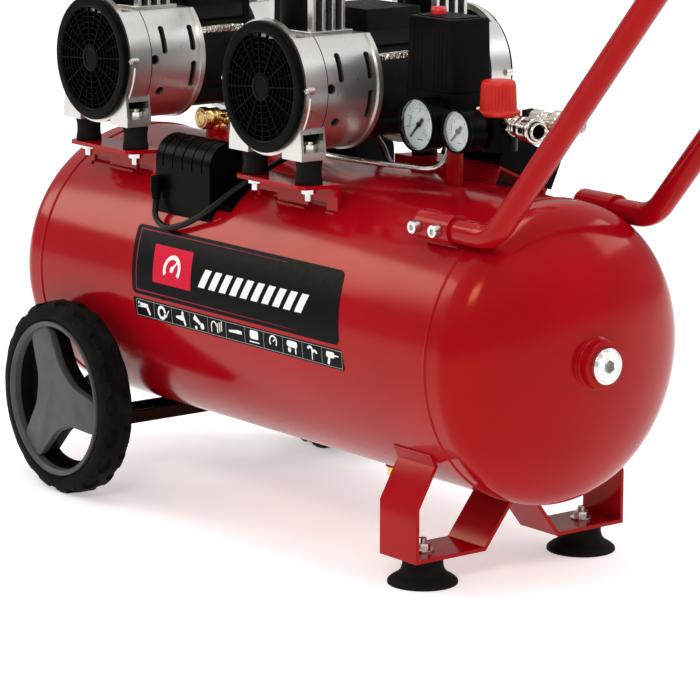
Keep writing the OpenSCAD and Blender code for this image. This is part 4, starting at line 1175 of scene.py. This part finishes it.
def hood_outline(w, d, flute):
    """A rectangle with soft corners; its long sides have flutes, cut in when flute isn't 0."""
    soft = 3.0
    corner = [(w - soft + soft * math.cos(a), d - soft + soft * math.sin(a))
              for a in (math.pi / 2 * k / 5 for k in range(6))]
    side = [(x + dx, d - cut) for x in (24, 18, 12, -8, -14, -20, -26)
            for dx, cut in ((1.5, 0), (0.8, flute), (-0.8, flute), (-1.5, 0))]
    back = corner + side + [(-x, y) for x, y in corner[::-1]]
    return back + [(x, -y) for x, y in back[::-1]]


# ---- gauges, regulator and outlets ----

def printed(name, outlines, where, paint, lift):
    work = bmesh.new()
    for outline in outlines:
        work.faces.new(ring(work, [(x, y, lift) for x, y in outline], where))
    bmesh.ops.triangulate(work, faces=work.faces)
    piece(name, work, "dial_print", smooth=30, paint=paint)


def make_gauge(name, x, radius, full):
    """Black case with an inner step, a printed dial behind a lens, and a pointer."""
    face_y, axis_z, dial_depth = -52, 432, 6.1
    where = facing(x, face_y, axis_z, -1) @ Matrix.Rotation(math.pi, 4, "X")
    face = radius - 2.5
    case, dial, lens, cap = (bmesh.new() for _ in range(4))
    collar(case, [(face, 0), (radius, 0), (radius, 4.2), (radius - 1, 4.8), (radius - 1, 24),
                  (7, 24.4), (7, 26), (2, 26), (2, 7), (face, 7)], 0.9, where, 128)
    piece(f"gauge_case_{name}", case, "black_plastic", replaces=("gauge_cases",), smooth=35)
    turned(dial, [(0, dial_depth), (face, dial_depth), (face, 6.9), (0, 6.9)], where, 96)
    piece(f"gauge_dial_{name}", dial, "dial_print", replaces=("gauge_dials",), smooth=30)
    turned(lens, [(0, 1.0), (face * 0.5, 1.02), (face - 0.6, 1.15), (face, 1.6), (face, 2.2),
                  (0, 2.2)], where, 96)
    piece(f"gauge_lens_{name}", lens, "lens_clear", replaces=("gauge_lenses",), smooth=30)

    print_at = facing(x, face_y + dial_depth, axis_z, -1)
    scale = face / 24.5
    marks, figures = [], []
    ticks = full // 2 * 5
    for k in range(ticks + 1):
        turn = math.radians(225 - 270 * k / ticks)
        long = k % 5 == 0
        inner, half = (17.2, 0.42) if long else (18.6, 0.2)
        c, s = math.cos(turn), math.sin(turn)
        marks.append([(scale * (r * c - v * s), scale * (r * s + v * c))
                      for r, v in rectangle(inner, -half, 20.4, half)])
        if k % 10 == 0:
            figures.append((str(2 * k // 5), scale * 13.6 * c, scale * 13.6 * s))
    marks.append([(scale * u, scale * v) for u, v in rectangle(-4, -15.2, 4, -14.4)])
    printed(f"dial_marks_{name}", marks, print_at, BLACK_INK, 0.06)
    for part, paint, strips in (
            ("limit", RED_INK, ((21.6, 20.6, -45, 10),)),
            ("range", GREEN_INK, ((16.2, 15.7, 60, 200), (9.6, 9.1, -70, -20)))):
        outlines = [arc(0, 0, scale * outer, scale * inner, start, end, 28)
                    for outer, inner, start, end in strips]
        printed(f"dial_{part}_{name}", outlines, print_at, paint, 0.07)
    for text, u, v in figures:
        write_figure(f"dial_figure_{name}_{text}", text, print_at, u, v, 4.4 * scale)
    dressed(f"needle_{name}", 0.15)
    knob(cap, [(2.4, 3.1), (2.4, 5.4), (0.8, 5.4)], 0.5, where, 32)
    piece(f"needle_hub_{name}", cap, "needle_paint", nodes[f"needle_{name}"]["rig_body"])


def write_figure(name, text, where, u, v, size):
    """A number on the dial, as a thin mesh."""
    curve = bpy.data.curves.new(name, "FONT")
    curve.body = text
    curve.size = size
    curve.align_x = "CENTER"
    curve.align_y = "CENTER"
    maker = bpy.data.objects.new(name, curve)
    scene.collection.objects.link(maker)
    bpy.context.view_layer.update()
    mesh = bpy.data.meshes.new_from_object(maker)
    bpy.data.objects.remove(maker)
    mesh.transform(where @ Matrix.Translation((u, v, 0.08)))
    settle(bpy.data.objects.new(name, mesh), "dial_print", paint=BLACK_INK)


def make_knob():
    """Tapered cap with upright ribs over a flange."""
    ribs, steps, bore_r, knob_x, base_z = 28, 8, 12, 257, 444
    angles = turns(ribs * steps)
    levels = [(0, 20.6, 0), (0.8, 21.5, 0), (3.8, 21.5, 0), (4.8, 20.6, 0), (5.2, 18.2, 0),
              (6.6, 18.0, 0.9), (18, 17.5, 0.9), (28.6, 17.0, 0.9), (30.4, 16.7, 0),
              (32.4, 15.9, 0), (33.6, 14.4, 0), (34, bore_r, 0)]
    rows = [[polar(bore_r, a, z) for a in angles] for z in (18, 0)]
    rows += [[polar(r - cut * max(0.0, math.cos(ribs * a)) ** 0.6, a, z) for a in angles]
             for z, r, cut in levels]
    cap = bmesh.new()
    loft(cap, rows, axis_at(knob_x, 0, base_z))
    stand_in("regulator_knob", cap, 45)


def make_couplings():
    """Two quick couplings: hexagon, ringed body with a dark mouth, and a knurled sleeve."""
    bore_r = 9.35
    bodies, seals = bmesh.new(), bmesh.new()
    for name, x, y, z, reach, angle in (("front", 257, 0, 437, 18, -10),
                                        ("rear", 270, 12, 441, 14, 18)):
        turn = math.radians(angle)
        where = axis_at(x + reach * math.cos(turn), y + reach * math.sin(turn), z,
                        (math.cos(turn), math.sin(turn), 0))
        hex_nut(bodies, 18.9, 4.1, 15, where, 15)
        collar(bodies, [(3.0, 0), (6, 0), (6, 15), (9, 15), (9, 17), (8.3, 18), (9, 19), (9, 21),
                        (8, 22), (8, 55), (9, 55.6), (9, 59), (7.6, 59), (6.3, 57.4), (6.3, 42),
                        (3.0, 41)], 0.3, where, 64, 3)
        collar(seals, [(5.7, 41.4), (6.25, 41.4), (6.25, 56.6), (5.7, 56.6)], 0.2, where, 48)
        turned(seals, [(0, 41.2), (5.7, 41.2), (5.7, 42.4), (0, 42.4)], where, 48)
        for a in turns(26):
            block(bodies, (7.8, -0.28, 22.6), (8.5, 0.28, 27.2), spun(where, a))
        sleeve = bmesh.new()
        collar(sleeve, [(bore_r, 28), (11.0, 28), (11.4, 29.2), (11.4, 34.4), (10.6, 35.2),
                        (10.6, 36.6), (bore_r, 36.6)], 0.4, where, 64, 3)
        knurled(sleeve, 11.5, 36.6, 46.6, 0.35, 36, where, inner=bore_r)
        collar(sleeve, [(bore_r, 46.6), (10.8, 46.6), (12.5, 48.6), (12.5, 52.8), (11.6, 54),
                        (bore_r, 54)], 0.5, where, 64, 3)
        stand_in(f"coupling_sleeve_{name}", sleeve, 30)
    stand_in("coupling_bodies", bodies, 30)
    piece("coupling_seals", seals, "mount_rubber", smooth=30)
    dressed("safety_valve", 0.4)
    dressed("safety_ring", 0.2, 40)


make_lines()
make_check_valve()
make_boxes()
make_switch()
make_gauge("tank", 195, 27, 16)
make_gauge("outlet", 254.5, 21.5, 12)
make_knob()
make_couplings()


# ---- stage and light ----

def make_stage():
    mesh = bpy.data.meshes.new("floor")
    reach = 14
    mesh.from_pydata([(x, y, 0) for x, y in rectangle(-reach, -reach, reach, reach)], [],
                     [(0, 1, 2, 3)])
    floor = bpy.data.objects.new("floor", mesh)
    scene.collection.objects.link(floor)
    s = Surface("pale_floor", Emission_Color=(1, 1, 1, 1), Emission_Strength=0.42)
    mesh.materials.append(s.made(s.patchy(3, 4, 0.80, 0.83),
                                 s.patchy(5, 3, 0.65, 0.75)))


def add_panel(name, place, size, power, tint=(1, 1, 1), aim=(0, 0, 0.3)):
    """A soft box that faces the object."""
    light = bpy.data.objects.new(name, bpy.data.lights.new(name, "AREA"))
    light.data.shape = "RECTANGLE"
    light.data.size, light.data.size_y = size
    light.data.energy = power
    light.data.color = tint
    scene.collection.objects.link(light)
    look = (Vector(aim) - Vector(place)).to_track_quat("-Z", "Y").to_matrix().to_4x4()
    light.matrix_world = Matrix.Translation(place) @ look


def light_studio():
    world = bpy.data.worlds.new("studio")
    world.use_nodes = True
    tree = world.node_tree
    place = tree.nodes.new("ShaderNodeTexCoord")
    parts = tree.nodes.new("ShaderNodeSeparateXYZ")
    ramp = tree.nodes.new("ShaderNodeValToRGB")
    elements = ramp.color_ramp.elements
    for position in (0.2, 0.5):
        elements.new(position)
    for element, (position, grey) in zip(elements, ((0.0, 0.42), (0.2, 0.36), (0.5, 0.85),
                                                    (1.0, 1.0))):
        element.position = position
        element.color = (grey, grey, grey, 1)
    tree.links.new(place.outputs["Generated"], parts.inputs["Vector"])
    tree.links.new(parts.outputs["Z"], ramp.inputs["Fac"])
    tree.links.new(ramp.outputs["Color"], tree.nodes["Background"].inputs["Color"])
    scene.world = world
    warm = (1.0, 0.93, 0.84)
    add_panel("key", (2.4, -2.6, 2.8), (1.0, 0.7), 42, warm)
    add_panel("side", (-3.2, -1.8, 1.9), (1.2, 1.4), 26, warm)
    add_panel("top", (0.2, 0.2, 3.4), (1.6, 0.6), 26)
    add_panel("rim", (1.5, 3.2, 2.0), (1.8, 1.2), 26)
    scene.view_settings.view_transform = "Standard"


make_stage()
light_studio()
